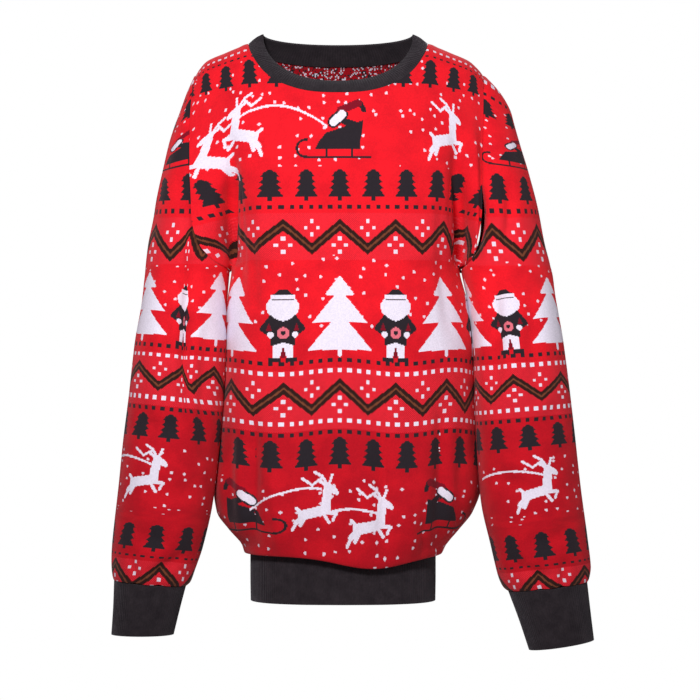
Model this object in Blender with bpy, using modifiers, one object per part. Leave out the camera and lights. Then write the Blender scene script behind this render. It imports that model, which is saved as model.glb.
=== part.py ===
"""A long-sleeved knitted christmas sweater, worn and hollow, as a maker would sew it:
front, back, two set-in sleeves, neckband, hem band and two cuffs, each one wall of cloth.

Metres, +Z up. The wearer faces -Y. The origin is the middle of the neck opening, level with
the tops of the shoulders. Right and left are the wearer's, so the right sleeve is at -X.
The wearer is a general figure and is not there: the cloth is open at neck, hem and cuffs.

Every panel is a loft through level rows of knitting, called courses. A course is named by its
cloth height: the height that it would have if the front hung straight down.
"""

import math
from collections import namedtuple

import bpy
import numpy as np

COLLECTION = "christmas_sweater"

# Driving sizes
JERSEY = 0.0018          # wall of the patterned panels
RIB = 0.0030             # wall of the ribbed bands
SEAM_GAP = 0.0009        # between two panels that are sewn together
PANEL_TURN = 1.2         # degrees round the arm by which a panel stops short of the armhole seam
ARMHOLE_GAP = 0.0006     # between the sleeve's edge and the armhole seam's line, which turns
NECK_GAP = 0.0010        # between the neckline's cut edge and its band, which turns there
SHOULDER = 0.036         # cloth height of the shoulder seam at the neck
UNDERARM = -0.270        # cloth height at which body and sleeve part
HEM = -0.652             # cloth height at which the body is sewn to its band
NECK_DEPTH = 0.097       # how far the front neckline drops below the shoulder seam, along the cloth
BACK_NECK_DEPTH = 0.052  # the same at the back
NECK_SPAN = 0.452        # share of the half front that the neckline takes from the shoulder
HEM_BAND_HEIGHT = 0.062
HEM_BAND_MIDDLE = 0.031  # how far below its seam the hem band is as wide as at the seam
HEM_BAND_INSET = 0.0008  # how much smaller than the body's last course the hem band is
HEM_EDGE_INSET = 0.0012  # the same at its free edge


def table(columns, *rows):
    """Rows of numbers as named tuples."""
    Row = namedtuple("Row", columns)
    return [Row(*row) for row in rows]


# The body below the arms: closed rings, from the underarm down to the tuck above the hem band.
RINGS = table(
    "cloth z lean half_width front back",
    (HEM, -0.6045, 0.000, 0.1128, 0.0985, 0.0925),
    (-0.641, -0.6120, 0.000, 0.1140, 0.1030, 0.0965),
    (-0.631, -0.6210, 0.000, 0.1160, 0.1090, 0.1010),
    (-0.622, -0.6235, 0.000, 0.1185, 0.1140, 0.1050),
    (-0.610, -0.6120, 0.001, 0.1235, 0.1195, 0.1090),
    (-0.590, -0.5900, 0.001, 0.1390, 0.1240, 0.1110),
    (-0.565, -0.5650, 0.002, 0.1545, 0.1270, 0.1110),
    (-0.530, -0.5300, 0.005, 0.1616, 0.1280, 0.1090),
    (-0.486, -0.4860, 0.006, 0.1587, 0.1275, 0.1060),
    (-0.426, -0.4260, 0.007, 0.1541, 0.1250, 0.1020),
    (-0.366, -0.3660, 0.008, 0.1507, 0.1210, 0.1000),
    (-0.306, -0.3060, 0.005, 0.1445, 0.1180, 0.1000),
    (UNDERARM, -0.2700, 0.003, 0.1378, 0.1170, 0.1005),
)
# The same ring of any size: how far out each guide point lies, and how square the ring is.
RING_STEPS = (0.0, 0.38, 0.70, 0.89, 0.975, 0.995, 1.0)
RING_SQUARENESS = 2.5

# The body above the arms' parting, for the half from the middle to the armhole. Each pair is a
# guide point's distance out and the share of the front or back depth that it has: the corner of
# the chest, the side as it turns in, the valley of the armpit fold, and the crest over the arm.
YOKE = table(
    "cloth z lean front back corner_x corner turn_x turn valley_x valley crest_x crest",
    (-0.2500, -0.250, 0.003, 0.117, 0.101, 0.102, 0.82, 0.124, 0.58, 0.1350, 0.14, 0.1445, 0.33),
    (-0.2250, -0.225, 0.003, 0.116, 0.102, 0.104, 0.83, 0.126, 0.62, 0.1355, 0.25, 0.156, 0.47),
    (-0.1860, -0.186, 0.003, 0.113, 0.104, 0.105, 0.83, 0.126, 0.66, 0.1350, 0.42, 0.157, 0.56),
    (-0.1350, -0.135, 0.002, 0.106, 0.105, 0.105, 0.83, 0.124, 0.72, 0.1350, 0.62, 0.157, 0.60),
    (-0.0900, -0.090, -0.003, 0.094, 0.098, 0.105, 0.82, 0.122, 0.76, 0.1360, 0.70, 0.158, 0.58),
    (-0.0500, -0.050, -0.006, 0.076, 0.080, 0.105, 0.78, 0.122, 0.73, 0.1360, 0.67, 0.159, 0.55),
    (-0.0065, -0.012, -0.006, 0.044, 0.047, 0.106, 0.86, 0.122, 0.84, 0.1370, 0.80, 0.159, 0.66),
    (SHOULDER, 0.004, -0.006, 0.000, 0.000, 0.107, 0.86, 0.122, 0.84, 0.1370, 0.80, 0.159, 0.66),
)
# How much of a course's fall towards the armhole each guide point has, from the middle out.
FALL = (0.0, 0.0, 0.0, 0.14, 0.31, 0.58, 1.0)
GUIDES = (0.0, 0.22, 0.44, 0.60, 0.74, 0.87, 1.0, 1.13)

# The arms: each course is an oval. The seam angle is where the armhole seam crosses it, from
# the outside of the arm; 180 is the underarm. `dip` is how much lower its outside lies.
ARM = "cloth z dip middle_x half_width middle_y half_depth seam_angle"
RIGHT_ARM = table(
    ARM,
    (-0.652, -0.6470, -0.007, 0.2300, 0.0432, -0.055, 0.0455, 180),
    (-0.644, -0.6430, -0.008, 0.2285, 0.0462, -0.055, 0.0480, 180),
    (-0.628, -0.6280, -0.008, 0.2262, 0.0498, -0.055, 0.0520, 180),
    (-0.600, -0.6000, -0.008, 0.2208, 0.0540, -0.054, 0.0560, 180),
    (-0.546, -0.5460, -0.008, 0.2124, 0.0564, -0.053, 0.0580, 180),
    (-0.486, -0.4860, -0.008, 0.2064, 0.0564, -0.051, 0.0590, 180),
    (-0.426, -0.4260, -0.008, 0.2003, 0.0553, -0.047, 0.0600, 180),
    (-0.366, -0.3660, -0.006, 0.1956, 0.0540, -0.040, 0.0600, 180),
    (-0.306, -0.3060, -0.004, 0.1907, 0.0503, -0.022, 0.0600, 180),
    (UNDERARM, -0.2740, 0.000, 0.1880, 0.0510, -0.007, 0.0600, 180),
    (-0.2500, -0.2620, 0.000, 0.1860, 0.0520, -0.006, 0.0600, 134),
    (-0.2250, -0.2390, 0.000, 0.1846, 0.0506, -0.006, 0.0600, 104),
    (-0.1860, -0.1990, 0.000, 0.1805, 0.0470, -0.006, 0.0580, 89),
    (-0.1350, -0.1470, 0.006, 0.1835, 0.0350, -0.004, 0.0530, 90),
    (-0.0900, -0.1020, 0.014, 0.1840, 0.0260, -0.002, 0.0430, 90),
    (-0.0500, -0.0640, 0.020, 0.1825, 0.0165, -0.001, 0.0320, 90),
    (-0.0065, -0.0420, 0.012, 0.1800, 0.0080, 0.000, 0.0200, 90),
    (SHOULDER, -0.0330, 0.000, 0.1780, 0.0010, 0.000, 0.0006, 90),
)
LEFT_ARM = table(
    ARM,
    (-0.658, -0.6530, -0.011, 0.2440, 0.0475, -0.055, 0.0480, 180),
    (-0.650, -0.6490, -0.011, 0.2425, 0.0510, -0.055, 0.0500, 180),
    (-0.634, -0.6340, -0.011, 0.2400, 0.0555, -0.055, 0.0540, 180),
    (-0.600, -0.6000, -0.011, 0.2340, 0.0576, -0.054, 0.0570, 180),
    (-0.546, -0.5460, -0.010, 0.2250, 0.0594, -0.053, 0.0590, 180),
    (-0.486, -0.4860, -0.008, 0.2200, 0.0580, -0.051, 0.0600, 180),
    (-0.426, -0.4260, -0.006, 0.2156, 0.0560, -0.047, 0.0600, 180),
    (-0.366, -0.3660, -0.004, 0.2113, 0.0533, -0.040, 0.0600, 180),
    (-0.306, -0.3060, -0.003, 0.2030, 0.0526, -0.022, 0.0600, 180),
    (UNDERARM, -0.2740, 0.000, 0.1978, 0.0548, -0.007, 0.0600, 180),
    (-0.2500, -0.2620, 0.000, 0.1948, 0.0548, -0.006, 0.0600, 147),
    (-0.2250, -0.2390, 0.000, 0.1913, 0.0523, -0.006, 0.0600, 127),
    (-0.1860, -0.1990, 0.000, 0.1870, 0.0490, -0.006, 0.0580, 115),
    (-0.1350, -0.1470, 0.006, 0.1810, 0.0434, -0.004, 0.0540, 110),
    (-0.0900, -0.1020, 0.014, 0.1740, 0.0393, -0.002, 0.0440, 99),
    (-0.0500, -0.0640, 0.020, 0.1690, 0.0356, -0.001, 0.0330, 90),
    (-0.0065, -0.0420, 0.012, 0.1700, 0.0190, 0.000, 0.0200, 90),
    (SHOULDER, -0.0330, 0.000, 0.1690, 0.0010, 0.000, 0.0006, 90),
)
ARMS = {-1: RIGHT_ARM, 1: LEFT_ARM}
SIDE_NAME = {-1: "right", 1: "left"}

# The cuffs, from the sleeve's end to the wrist.
CUFF = "z dip middle_x half_width middle_y half_depth"
CUFFS = {
    -1: table(
        CUFF,
        (-0.6476, -0.007, 0.2301, 0.0428, -0.0550, 0.0450),
        (-0.6740, -0.005, 0.2340, 0.0398, -0.0560, 0.0420),
        (-0.7045, 0.000, 0.2388, 0.0372, -0.0570, 0.0395),
    ),
    1: table(
        CUFF,
        (-0.6536, -0.011, 0.2442, 0.0470, -0.0550, 0.0475),
        (-0.6880, -0.012, 0.2525, 0.0425, -0.0560, 0.0440),
        (-0.7230, -0.012, 0.2604, 0.0388, -0.0570, 0.0405),
    ),
}

# The neckband's free edge: how far out and up it stands at the middle of front and back, and
# at the sides, where it is highest.
BAND_FRONT = table("y z", (-0.060, -0.045))[0]
BAND_BACK = table("y z", (0.036, 0.006))[0]
BAND_SIDE = table("x z", (0.0905, 0.016))[0]
BAND_RISE = 1.1          # how late the free edge rises from the middle to the side
BAND_BULGE = 0.0012      # how far the middle of the band's width rounds out

# Soft folds pressed into a panel: where the fold is, how far it runs, its width and its depth.
BODY_FOLDS = table(
    "face middle width low high depth",
    ("front", -0.1060, 0.013, -0.602, -0.470, 0.0060),
    ("front", -0.0240, 0.010, -0.602, -0.500, 0.0035),
    ("front", 0.0440, 0.012, -0.602, -0.490, 0.0045),
    ("front", 0.1180, 0.014, -0.602, -0.460, 0.0060),
    ("back", -0.0900, 0.014, -0.602, -0.480, 0.0050),
    ("back", 0.0150, 0.012, -0.602, -0.500, 0.0040),
    ("back", 0.0980, 0.014, -0.602, -0.470, 0.0055),
)
SLEEVE_FOLDS = table(
    "side angle width low high depth",
    (-1, -104, 11, -0.440, -0.255, 0.0110),
    (-1, 70, 14, -0.420, -0.300, 0.0060),
    (1, -118, 12, -0.330, -0.215, 0.0070),
    (1, 95, 14, -0.460, -0.330, 0.0060),
)

# Courses and columns at which the panels are built
COURSES = (
    HEM, -0.643, -0.634, -0.624, -0.610, -0.587, -0.555, -0.510, -0.455, -0.400, -0.345,
    -0.300, UNDERARM, -0.258, -0.243, -0.220, -0.190, -0.155, -0.120, -0.088, -0.057,
    -0.030, -0.006, 0.014, 0.029, SHOULDER,
)
SLEEVE_COURSES_BELOW = {
    -1: (-0.652, -0.645, -0.634, -0.612, -0.570, -0.510, -0.455, -0.400, -0.345, -0.300),
    1: (-0.658, -0.651, -0.640, -0.616, -0.570, -0.510, -0.455, -0.400, -0.345, -0.300),
}
NECK_COLUMNS = 6         # of half the front, inside the neckline
SHOULDER_COLUMNS = (0.53, 0.61, 0.68, 0.76, 0.85, 0.94, 1.0)
BEYOND = 25.0            # degrees past the armhole seam at which a body course is guided on
SLEEVE_COLUMNS = (0.0, 0.18, 0.36, 0.50, 0.63, 0.78, 0.93, 1.0)
FIXED_ANGLE = 80.0       # degrees from the outside of the arm within which columns stay put
CUFF_GAP_SHARE = 0.1     # how far the sleeve's last course is drawn back from the cuff
MOST_TURN = 60.0         # degrees that the gap may take from a sleeve's narrow top
SIDE_CALM = 0.060        # folds fade this near to the side seams
NECK_BLEND = -0.12       # cloth height above which the courses bend to follow the neckline
NECK_ROUNDNESS = 1.3     # above 1 the neckline is flatter at its middle
CHEST_ROUNDING = 0.22    # share of the corner's turn that the cloth has made half way to it
FOLD_ROUNDNESS = 0.7     # below 1 a fold keeps its depth nearer to its ends
UNDERARM_WELD = 0.00005  # joins the sleeve's two edges below the underarm

MATERIALS = {
    "patterned_jersey": ((0.68, 0.015, 0.03, 1.0), 0.85),
    "ribbed_charcoal": ((0.03, 0.022, 0.026, 1.0), 0.90),
}


def smooth(knots, values, at):
    """Reads a smooth curve that passes through the values at the knots and never overshoots."""
    knots = np.asarray(knots, float)
    values = np.asarray(values, float)
    shape = (-1,) + (1,) * (values.ndim - 1)
    widths = np.diff(knots).reshape(shape)
    steps = np.diff(values, axis=0) / widths
    slopes = np.empty_like(values)
    before, after = steps[:-1], steps[1:]
    both = before * after
    mean = np.where(both > 0, 2 * both / np.where(both > 0, before + after, 1), 0.0)
    slopes[1:-1] = mean
    slopes[0], slopes[-1] = steps[0], steps[-1]
    at = np.clip(np.asarray(at, float), knots[0], knots[-1])
    i = np.clip(np.searchsorted(knots, at, side="right") - 1, 0, len(knots) - 2)
    part = ((at - knots[i]) / (knots[i + 1] - knots[i])).reshape(shape)
    width = (knots[i + 1] - knots[i]).reshape(shape)
    return (
        values[i] * (1 + 2 * part) * (1 - part) ** 2
        + slopes[i] * width * part * (1 - part) ** 2
        + values[i + 1] * part**2 * (3 - 2 * part)
        + slopes[i + 1] * width * part**2 * (part - 1)
    )


def arm_section(side, cloth):
    """The arm's row at any cloth height."""
    rows = ARMS[side]
    knots = [row.cloth for row in rows]
    return smooth(knots, [row[1:] for row in rows], np.atleast_1d(cloth))


def arm_point(section, angle):
    """A point on the arm's oval, at an angle from the outside, for x measured outwards."""
    z, dip, middle_x, half_width, middle_y, half_depth, seam = np.moveaxis(section, -1, 0)
    turned = np.radians(angle)
    start = np.cos(np.radians(seam))
    fall = dip * (np.cos(turned) - start) / (1 - start)
    return np.stack(
        [middle_x + half_width * np.cos(turned), middle_y + half_depth * np.sin(turned), z - fall],
        axis=-1,
    )


def body_guides(side, forward):
    """Guide points of every course from the middle to the side or armhole, and one beyond it."""
    heights, guides = [], []
    for row in RINGS:
        depth = row.front if forward < 0 else row.back
        points = []
        for step in RING_STEPS + (RING_STEPS[-2],):
            deep = (1 - step**RING_SQUARENESS) ** (1 / RING_SQUARENESS) * depth
            points.append((row.lean * side + step * row.half_width, forward * deep, row.z))
        points[-1] = (points[-1][0], -points[-1][1], row.z)
        heights.append(row.cloth)
        guides.append(points)
    for row in YOKE:
        depth = row.front if forward < 0 else row.back
        section = arm_section(side, row.cloth)[0]
        end = arm_point(section, forward * section[6])
        beyond = arm_point(section, forward * max(section[6] - BEYOND, 0))
        shares = (
            (0.0, 1.0),
            (0.5 * row.corner_x, 1 - CHEST_ROUNDING * (1 - row.corner)),
            (row.corner_x, row.corner),
            (row.turn_x, row.turn),
            (row.valley_x, row.valley),
            (row.crest_x, row.crest),
        )
        points = [
            (row.lean * side + x, forward * share * depth, row.z - (row.z - end[2]) * fall)
            for (x, share), fall in zip(shares, FALL)
        ]
        heights.append(row.cloth)
        guides.append(points + [tuple(end), tuple(beyond)])
    # One course past the shoulder seam, so that the cloth lies level as it crosses it.
    last, ridge = guides[-1], guides[-2]
    heights.append(2 * heights[-1] - heights[-2])
    guides.append([(r[0], 2 * p[1] - r[1], r[2]) for p, r in zip(last, ridge)])
    return np.array(heights), np.array(guides)


def fold_depth(rows, place, z, key):
    """How far the named folds press the cloth in at a place and height."""
    depth = np.zeros_like(z)
    for row in rows:
        if row[0] != key:
            continue
        across = np.exp(-(((place - row[1]) / row.width) ** 2))
        along = np.clip((z - row.low) / (row.high - row.low), 0, 1)
        depth += row.depth * across * np.sin(math.pi * along) ** FOLD_ROUNDNESS
    return depth


def body_point(side, forward, out, cloth, guides):
    """Points of the body's cloth, at shares `out` of the half course and cloth heights."""
    heights, points = guides
    along = smooth(heights, points, cloth)
    section = arm_section(side, np.minimum(cloth, SHOULDER))
    seam = np.minimum(section[:, 6] + PANEL_TURN, 180.0)
    above = np.asarray(cloth) > UNDERARM
    along[above, 6] = arm_point(section, forward * seam)[above]
    along[above, 7] = arm_point(section, forward * np.maximum(seam - BEYOND, 0))[above]
    found = np.array([smooth(GUIDES, row, [u])[0] for row, u in zip(along, out)])
    face = "front" if forward < 0 else "back"
    pressed = fold_depth(BODY_FOLDS, side * found[:, 0], found[:, 2], face)
    found[:, 1] -= forward * pressed * np.clip(np.abs(found[:, 1]) / SIDE_CALM, 0, 1)
    found[:, 0] *= side
    return found


def neckline(out, depth):
    """Cloth height of the neckline over a column, and of the shoulder seam past it."""
    share = min(out / NECK_SPAN, 1.0)
    dropped = (1 - math.sqrt(max(1 - share**2, 0.0))) ** NECK_ROUNDNESS
    return SHOULDER - depth * (1 - dropped)


def columns():
    """Shares of the half course at which columns stand: close together towards the shoulder."""
    angles = np.linspace(0, math.pi / 2, NECK_COLUMNS + 1)
    return [NECK_SPAN * math.sin(a) for a in angles] + list(SHOULDER_COLUMNS)


def body_grid(forward, depth):
    """The panel as columns of points from the hem up, from the right side to the left."""
    grid = []
    for side in (-1, 1):
        guides = body_guides(side, forward)
        half = []
        for out in columns():
            top = neckline(out, depth)
            levels = np.array(COURSES)
            bent = NECK_BLEND + (levels - NECK_BLEND) * (top - NECK_BLEND) / (SHOULDER - NECK_BLEND)
            levels = np.where(levels > NECK_BLEND, bent, levels)
            half.append(body_point(side, forward, np.full(len(levels), out), levels, guides))
        grid += half[::-1] if side < 0 else half[1:]
    return np.array(grid)


def drawn_in(grid, gap):
    """Moves the grid's border inwards along the cloth by half a seam's gap."""
    grid = grid.copy()
    for edge, inner in ((0, 1), (-1, -2)):
        for part in (grid, grid.swapaxes(0, 1)):
            step = part[inner] - part[edge]
            part[edge] += step / np.linalg.norm(step, axis=-1, keepdims=True) * gap / 2
    return grid


def sleeve_angles(edge):
    """Angles round the arm from the front edge to the back. Those on the outside stay put."""
    shares = np.array(SLEEVE_COLUMNS)
    fixed = min(FIXED_ANGLE, 0.9 * edge)
    half = np.where(shares < 0.5, shares / 0.5 * fixed, fixed + (edge - fixed) * (shares - 0.5) / 0.5)
    return np.concatenate([-half[::-1], half[1:]])


def sleeve_grid(side):
    """The sleeve as courses from the cuff up, each from the front edge round to the back."""
    above = [cloth for cloth in COURSES if UNDERARM <= cloth < SHOULDER]
    grid = []
    for cloth in list(SLEEVE_COURSES_BELOW[side]) + above:
        section = arm_section(side, cloth)
        edge = section[0, 6]
        if cloth > UNDERARM:
            turned = math.radians(edge)
            speed = math.hypot(section[0, 3] * math.sin(turned), section[0, 5] * math.cos(turned))
            edge -= min(math.degrees(ARMHOLE_GAP / speed), MOST_TURN)
        angles = sleeve_angles(edge)
        points = arm_point(np.repeat(section, len(angles), axis=0), angles)
        pressed = fold_depth(SLEEVE_FOLDS, angles, points[:, 2], side)
        middle = np.array([section[0, 2], section[0, 4], 0])
        inward = middle - points
        inward[:, 2] = 0
        inward /= np.maximum(np.linalg.norm(inward, axis=1, keepdims=True), 1e-6)
        points += inward * pressed[:, None]
        points[:, 0] *= side
        grid.append(points)
    return np.array(grid)


def ring_points(row, side, angles):
    """A closed oval course of a cuff."""
    turned = np.radians(angles)
    fall = row.dip * (np.cos(turned) + 1) / 2
    x = row.middle_x + row.half_width * np.cos(turned)
    y = row.middle_y + row.half_depth * np.sin(turned)
    return np.stack([side * x, y, row.z - fall], axis=1)


def make_material(name):
    colour, roughness = MATERIALS[name]
    material = bpy.data.materials.new(name)
    material.use_nodes = True
    shader = material.node_tree.nodes["Principled BSDF"]
    shader.inputs["Base Color"].default_value = colour
    shader.inputs["Roughness"].default_value = roughness
    return material


def make_wall(name, grid, wall, material, closed=False, flip=False):
    """A sheet through the grid of points, thickened inwards."""
    rows, count = grid.shape[:2]
    faces = []
    for i in range(rows - 1):
        for j in range(count if closed else count - 1):
            k = (j + 1) % count
            face = (i * count + j, i * count + k, (i + 1) * count + k, (i + 1) * count + j)
            faces.append(face[::-1] if flip else face)
    mesh = bpy.data.meshes.new(name)
    mesh.from_pydata([tuple(point) for point in grid.reshape(-1, 3)], [], faces)
    mesh.materials.append(material)
    mesh.shade_smooth()
    piece = bpy.data.objects.new(name, mesh)
    bpy.data.collections[COLLECTION].objects.link(piece)
    thicken = piece.modifiers.new("Wall", "SOLIDIFY")
    thicken.thickness = wall
    thicken.offset = -1
    thicken.use_even_offset = False
    return piece


def make_body(jersey):
    front = drawn_in(body_grid(-1, NECK_DEPTH), SEAM_GAP)
    back = drawn_in(body_grid(1, BACK_NECK_DEPTH), SEAM_GAP)
    make_wall("front", front, JERSEY, jersey, flip=True)
    make_wall("back", back, JERSEY, jersey)


def make_sleeves(jersey):
    for side in (-1, 1):
        grid = sleeve_grid(side)
        grid[0] += (grid[1] - grid[0]) * CUFF_GAP_SHARE
        piece = make_wall(f"sleeve_{SIDE_NAME[side]}", grid, JERSEY, jersey, flip=side < 0)
        join = piece.modifiers.new("Underarm", "WELD")
        join.merge_threshold = UNDERARM_WELD
        piece.modifiers.move(1, 0)


def make_cuffs(rib):
    angles = sleeve_angles(180.0)[:-1]
    for side in (-1, 1):
        rows = [ring_points(row, side, angles) for row in CUFFS[side]]
        grid = np.array(rows)[::-1]
        make_wall(f"cuff_{SIDE_NAME[side]}", grid, RIB, rib, closed=True, flip=side < 0)


def hem_ring(z, shrink):
    """The body's last course, at another height and a little smaller."""
    last = RINGS[0]
    points = []
    for forward in (-1, 1):
        half = [body_point(1, forward, [u], [HEM], body_guides(1, forward))[0] for u in columns()]
        whole = [(-x, y) for x, y, _ in half[:0:-1]] + [(x, y) for x, y, _ in half]
        points += whole[:-1] if forward < 0 else whole[::-1][:-1]
    scale = 1 - shrink / last.half_width
    return [(x * scale, y * scale, z) for x, y in points]


def make_hem_band(rib):
    top = RINGS[0].z - SEAM_GAP
    levels = (
        (top - HEM_BAND_HEIGHT, HEM_EDGE_INSET),
        (top - HEM_BAND_MIDDLE, HEM_BAND_INSET),
        (top, HEM_BAND_INSET),
    )
    make_wall("hem_band", np.array([hem_ring(*level) for level in levels]), RIB, rib, closed=True)


def make_neckband(rib):
    outer, inner = [], []
    for forward, depth in ((-1, NECK_DEPTH), (1, BACK_NECK_DEPTH)):
        halves = []
        for side in (-1, 1):
            guides = body_guides(side, forward)
            angles = np.linspace(0, math.pi / 2, NECK_COLUMNS + 1)
            half = []
            for angle in angles:
                out = NECK_SPAN * math.sin(angle)
                edge = body_point(side, forward, [out], [neckline(out, depth)], guides)[0]
                half.append((angle * side, edge))
            halves.append(half)
        line = halves[0][:0:-1] + halves[1]
        line = line if forward < 0 else line[::-1]
        for angle, edge in line[:-1]:
            outer.append(edge)
            inner.append(band_edge(angle, forward))
    outer, inner = np.array(outer), np.array(inner)
    step = inner - outer
    step /= np.linalg.norm(step, axis=1, keepdims=True)
    outer += step * NECK_GAP
    middle = (outer + inner) / 2 + np.array([0, 0, BAND_BULGE])
    grid = np.array([outer, middle, inner])
    make_wall("neckband", grid, RIB, rib, closed=True)


def band_edge(angle, forward):
    """The neckband's free edge, at an angle from the middle of the front or back."""
    middle = BAND_FRONT if forward < 0 else BAND_BACK
    rise = (1 - math.cos(angle)) ** BAND_RISE
    z = middle.z + (BAND_SIDE.z - middle.z) * rise
    return (YOKE[-1].lean + BAND_SIDE.x * math.sin(angle), middle.y * math.cos(angle), z)


def main():
    for item in list(bpy.data.objects):
        bpy.data.objects.remove(item, do_unlink=True)
    collection = bpy.data.collections.new(COLLECTION)
    bpy.context.scene.collection.children.link(collection)
    jersey = make_material("patterned_jersey")
    rib = make_material("ribbed_charcoal")
    make_body(jersey)
    make_sleeves(jersey)
    make_neckband(rib)
    make_hem_band(rib)
    make_cuffs(rib)


main()
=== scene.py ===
# %% [markdown]
# # A knitted christmas sweater, worn and hollow
#
# This lesson makes the looks of a fine-gauge jacquard pullover. Its front, back and two sleeves are
# knitted with a winter pattern, and its neck, hem and cuffs are finished with charcoal rib. The
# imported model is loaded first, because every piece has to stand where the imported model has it.

import math
from collections import namedtuple

import bpy
import numpy as np
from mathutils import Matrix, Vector


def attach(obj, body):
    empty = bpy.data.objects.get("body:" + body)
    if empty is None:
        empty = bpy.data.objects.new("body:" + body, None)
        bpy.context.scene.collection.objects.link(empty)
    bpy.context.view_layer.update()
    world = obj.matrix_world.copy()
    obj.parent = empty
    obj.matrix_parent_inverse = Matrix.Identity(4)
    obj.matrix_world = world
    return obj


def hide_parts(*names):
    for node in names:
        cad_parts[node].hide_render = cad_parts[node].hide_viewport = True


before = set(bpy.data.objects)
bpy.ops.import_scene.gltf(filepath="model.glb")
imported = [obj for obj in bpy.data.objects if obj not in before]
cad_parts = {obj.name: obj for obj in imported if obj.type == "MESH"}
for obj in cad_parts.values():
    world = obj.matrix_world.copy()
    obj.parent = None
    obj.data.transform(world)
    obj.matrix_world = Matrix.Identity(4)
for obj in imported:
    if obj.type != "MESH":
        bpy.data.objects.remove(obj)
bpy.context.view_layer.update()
bpy.ops.object.select_all(action="DESELECT")
print("nodes:", sorted(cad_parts))

# %% [markdown]
# ## A short way to write tables
#
# A sewing pattern is a set of measurements. Here each set is a table with named columns, so that a
# row reads as one course of knitting, one fold or one stroke of the pattern.

# %% Tables with named columns
def table(columns, *rows):
    """Rows of numbers as named tuples."""
    Row = namedtuple("Row", columns)
    return [Row(*row) for row in rows]


STITCH = 0.0012  # a stitch's width in metres and the chart's unit, chosen rather than measured
print("one stitch is", STITCH, "m wide")

# %% [markdown]
# ## The studio
#
# A worn sweater is looked at straight on, from the height of its middle and from far enough away
# that nothing bulges. The camera has a long lens for that. A pale disc is the floor, one wide soft
# light stands above the camera and a weaker one fills the shadows from the side.

# %% Camera
LOOK_AT = Vector((0.0084, 0.0, -0.366))
DISTANCE = 4.0
FRAMED = 0.84  # metres across the picture, at the depth of the sleeves
SENSOR = 36.0

bpy.ops.object.camera_add(location=LOOK_AT + Vector((0, -DISTANCE, 0)), rotation=(math.pi / 2, 0, 0))
camera = bpy.context.object
camera.name = "camera"
camera.data.sensor_width = SENSOR
camera.data.lens = SENSOR * (DISTANCE - 0.03) / FRAMED
camera.data.clip_end = 60
bpy.context.scene.camera = camera
print("lens:", round(camera.data.lens, 1), "mm")

# %% [markdown]
# ## The studio
#
# A garment is shown in an even, soft light, so that its pattern reads all over. A wide floor,
# a bright world and three lamps do that here: a soft key from the upper left, a weak fill, and one
# from behind for the back. A single strong lamp would leave the far sleeve too dark.

# %% Floor, world and lights
FLOOR_Z = -1.25
bpy.ops.mesh.primitive_circle_add(vertices=96, radius=1.7, fill_type="NGON", location=(0, 0, 0))
floor = bpy.context.object
floor.name = "studio_floor"
for vertex in floor.data.vertices:
    vertex.co.z = FLOOR_Z
floor_paint = bpy.data.materials.new("pale_floor")
floor_paint.use_nodes = True
floor_paint.node_tree.nodes["Principled BSDF"].inputs["Base Color"].default_value = (0.86, 0.86, 0.86, 1)
floor_paint.node_tree.nodes["Principled BSDF"].inputs["Roughness"].default_value = 0.9
floor.data.materials.append(floor_paint)

LIGHTS = table(
    "name kind x y z size power aim",
    ("key_light", "SPOT", -0.45, -2.7, 0.75, 0.5, 350.0, -0.16),
    ("fill_light", "AREA", 1.7, -2.2, 0.1, 1.6, 9.0, -0.30),
    ("back_light", "AREA", 0.0, 2.6, 1.4, 2.2, 55.0, -0.30),
)
KEY_CONE = math.radians(37)
for row in LIGHTS:
    bpy.ops.object.light_add(type=row.kind, location=(row.x, row.y, row.z))
    light = bpy.context.object
    light.name = row.name
    light.data.energy = row.power
    if row.kind == "SPOT":
        light.data.shadow_soft_size = row.size / 2
        light.data.spot_size = KEY_CONE
        light.data.spot_blend = 1.0
    else:
        light.data.shape = "DISK"
        light.data.size = row.size
    toward = Vector((0, 0, row.aim)) - light.location
    light.rotation_euler = toward.to_track_quat("-Z", "Y").to_euler()

world = bpy.data.worlds.new("studio")
bpy.context.scene.world = world
world.use_nodes = True
nodes = world.node_tree.nodes
links = world.node_tree.links
ambient = nodes["Background"]
ambient.inputs["Color"].default_value = (1.0, 1.0, 1.0, 1)
ambient.inputs["Strength"].default_value = 0.26
white = nodes.new("ShaderNodeBackground")
white.inputs["Color"].default_value = (1.0, 1.0, 1.0, 1)
seen = nodes.new("ShaderNodeLightPath")
choose = nodes.new("ShaderNodeMixShader")
links.new(seen.outputs["Is Camera Ray"], choose.inputs[0])
links.new(ambient.outputs[0], choose.inputs[1])
links.new(white.outputs[0], choose.inputs[2])
links.new(choose.outputs[0], nodes["World Output"].inputs["Surface"])
bpy.context.scene.view_settings.view_transform = "Standard"
print("lights:", [row.name for row in LIGHTS])

# %% [markdown]
# ## The sizes of the body
#
# A body panel is knitted in level rows called courses. A course is named by its cloth height: the
# height it would have if the front hung straight down from the neck. Below the arms each course is
# half of a closed ring. Above them it runs from the middle of the chest, round its corner, into the
# valley of the armpit and over a crest to the armhole. The tables hold a few courses, and the rest
# are read from smooth curves through them.

# %% Body tables
SHOULDER = 0.036         # cloth height of the shoulder seam at the neck
UNDERARM = -0.270        # cloth height at which body and sleeve part
HEM = -0.652             # cloth height at which the body is sewn to its band
NECK_DEPTH = 0.097       # how far the front neckline drops below the shoulder seam, along the cloth
BACK_NECK_DEPTH = 0.052
NECK_SPAN = 0.452        # share of the half front that the neckline takes from the shoulder
NECK_BLEND = -0.12
NECK_ROUNDNESS = 1.3
CHEST_ROUNDING = 0.22
PANEL_TURN = 0.35
BEYOND = 25.0

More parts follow.
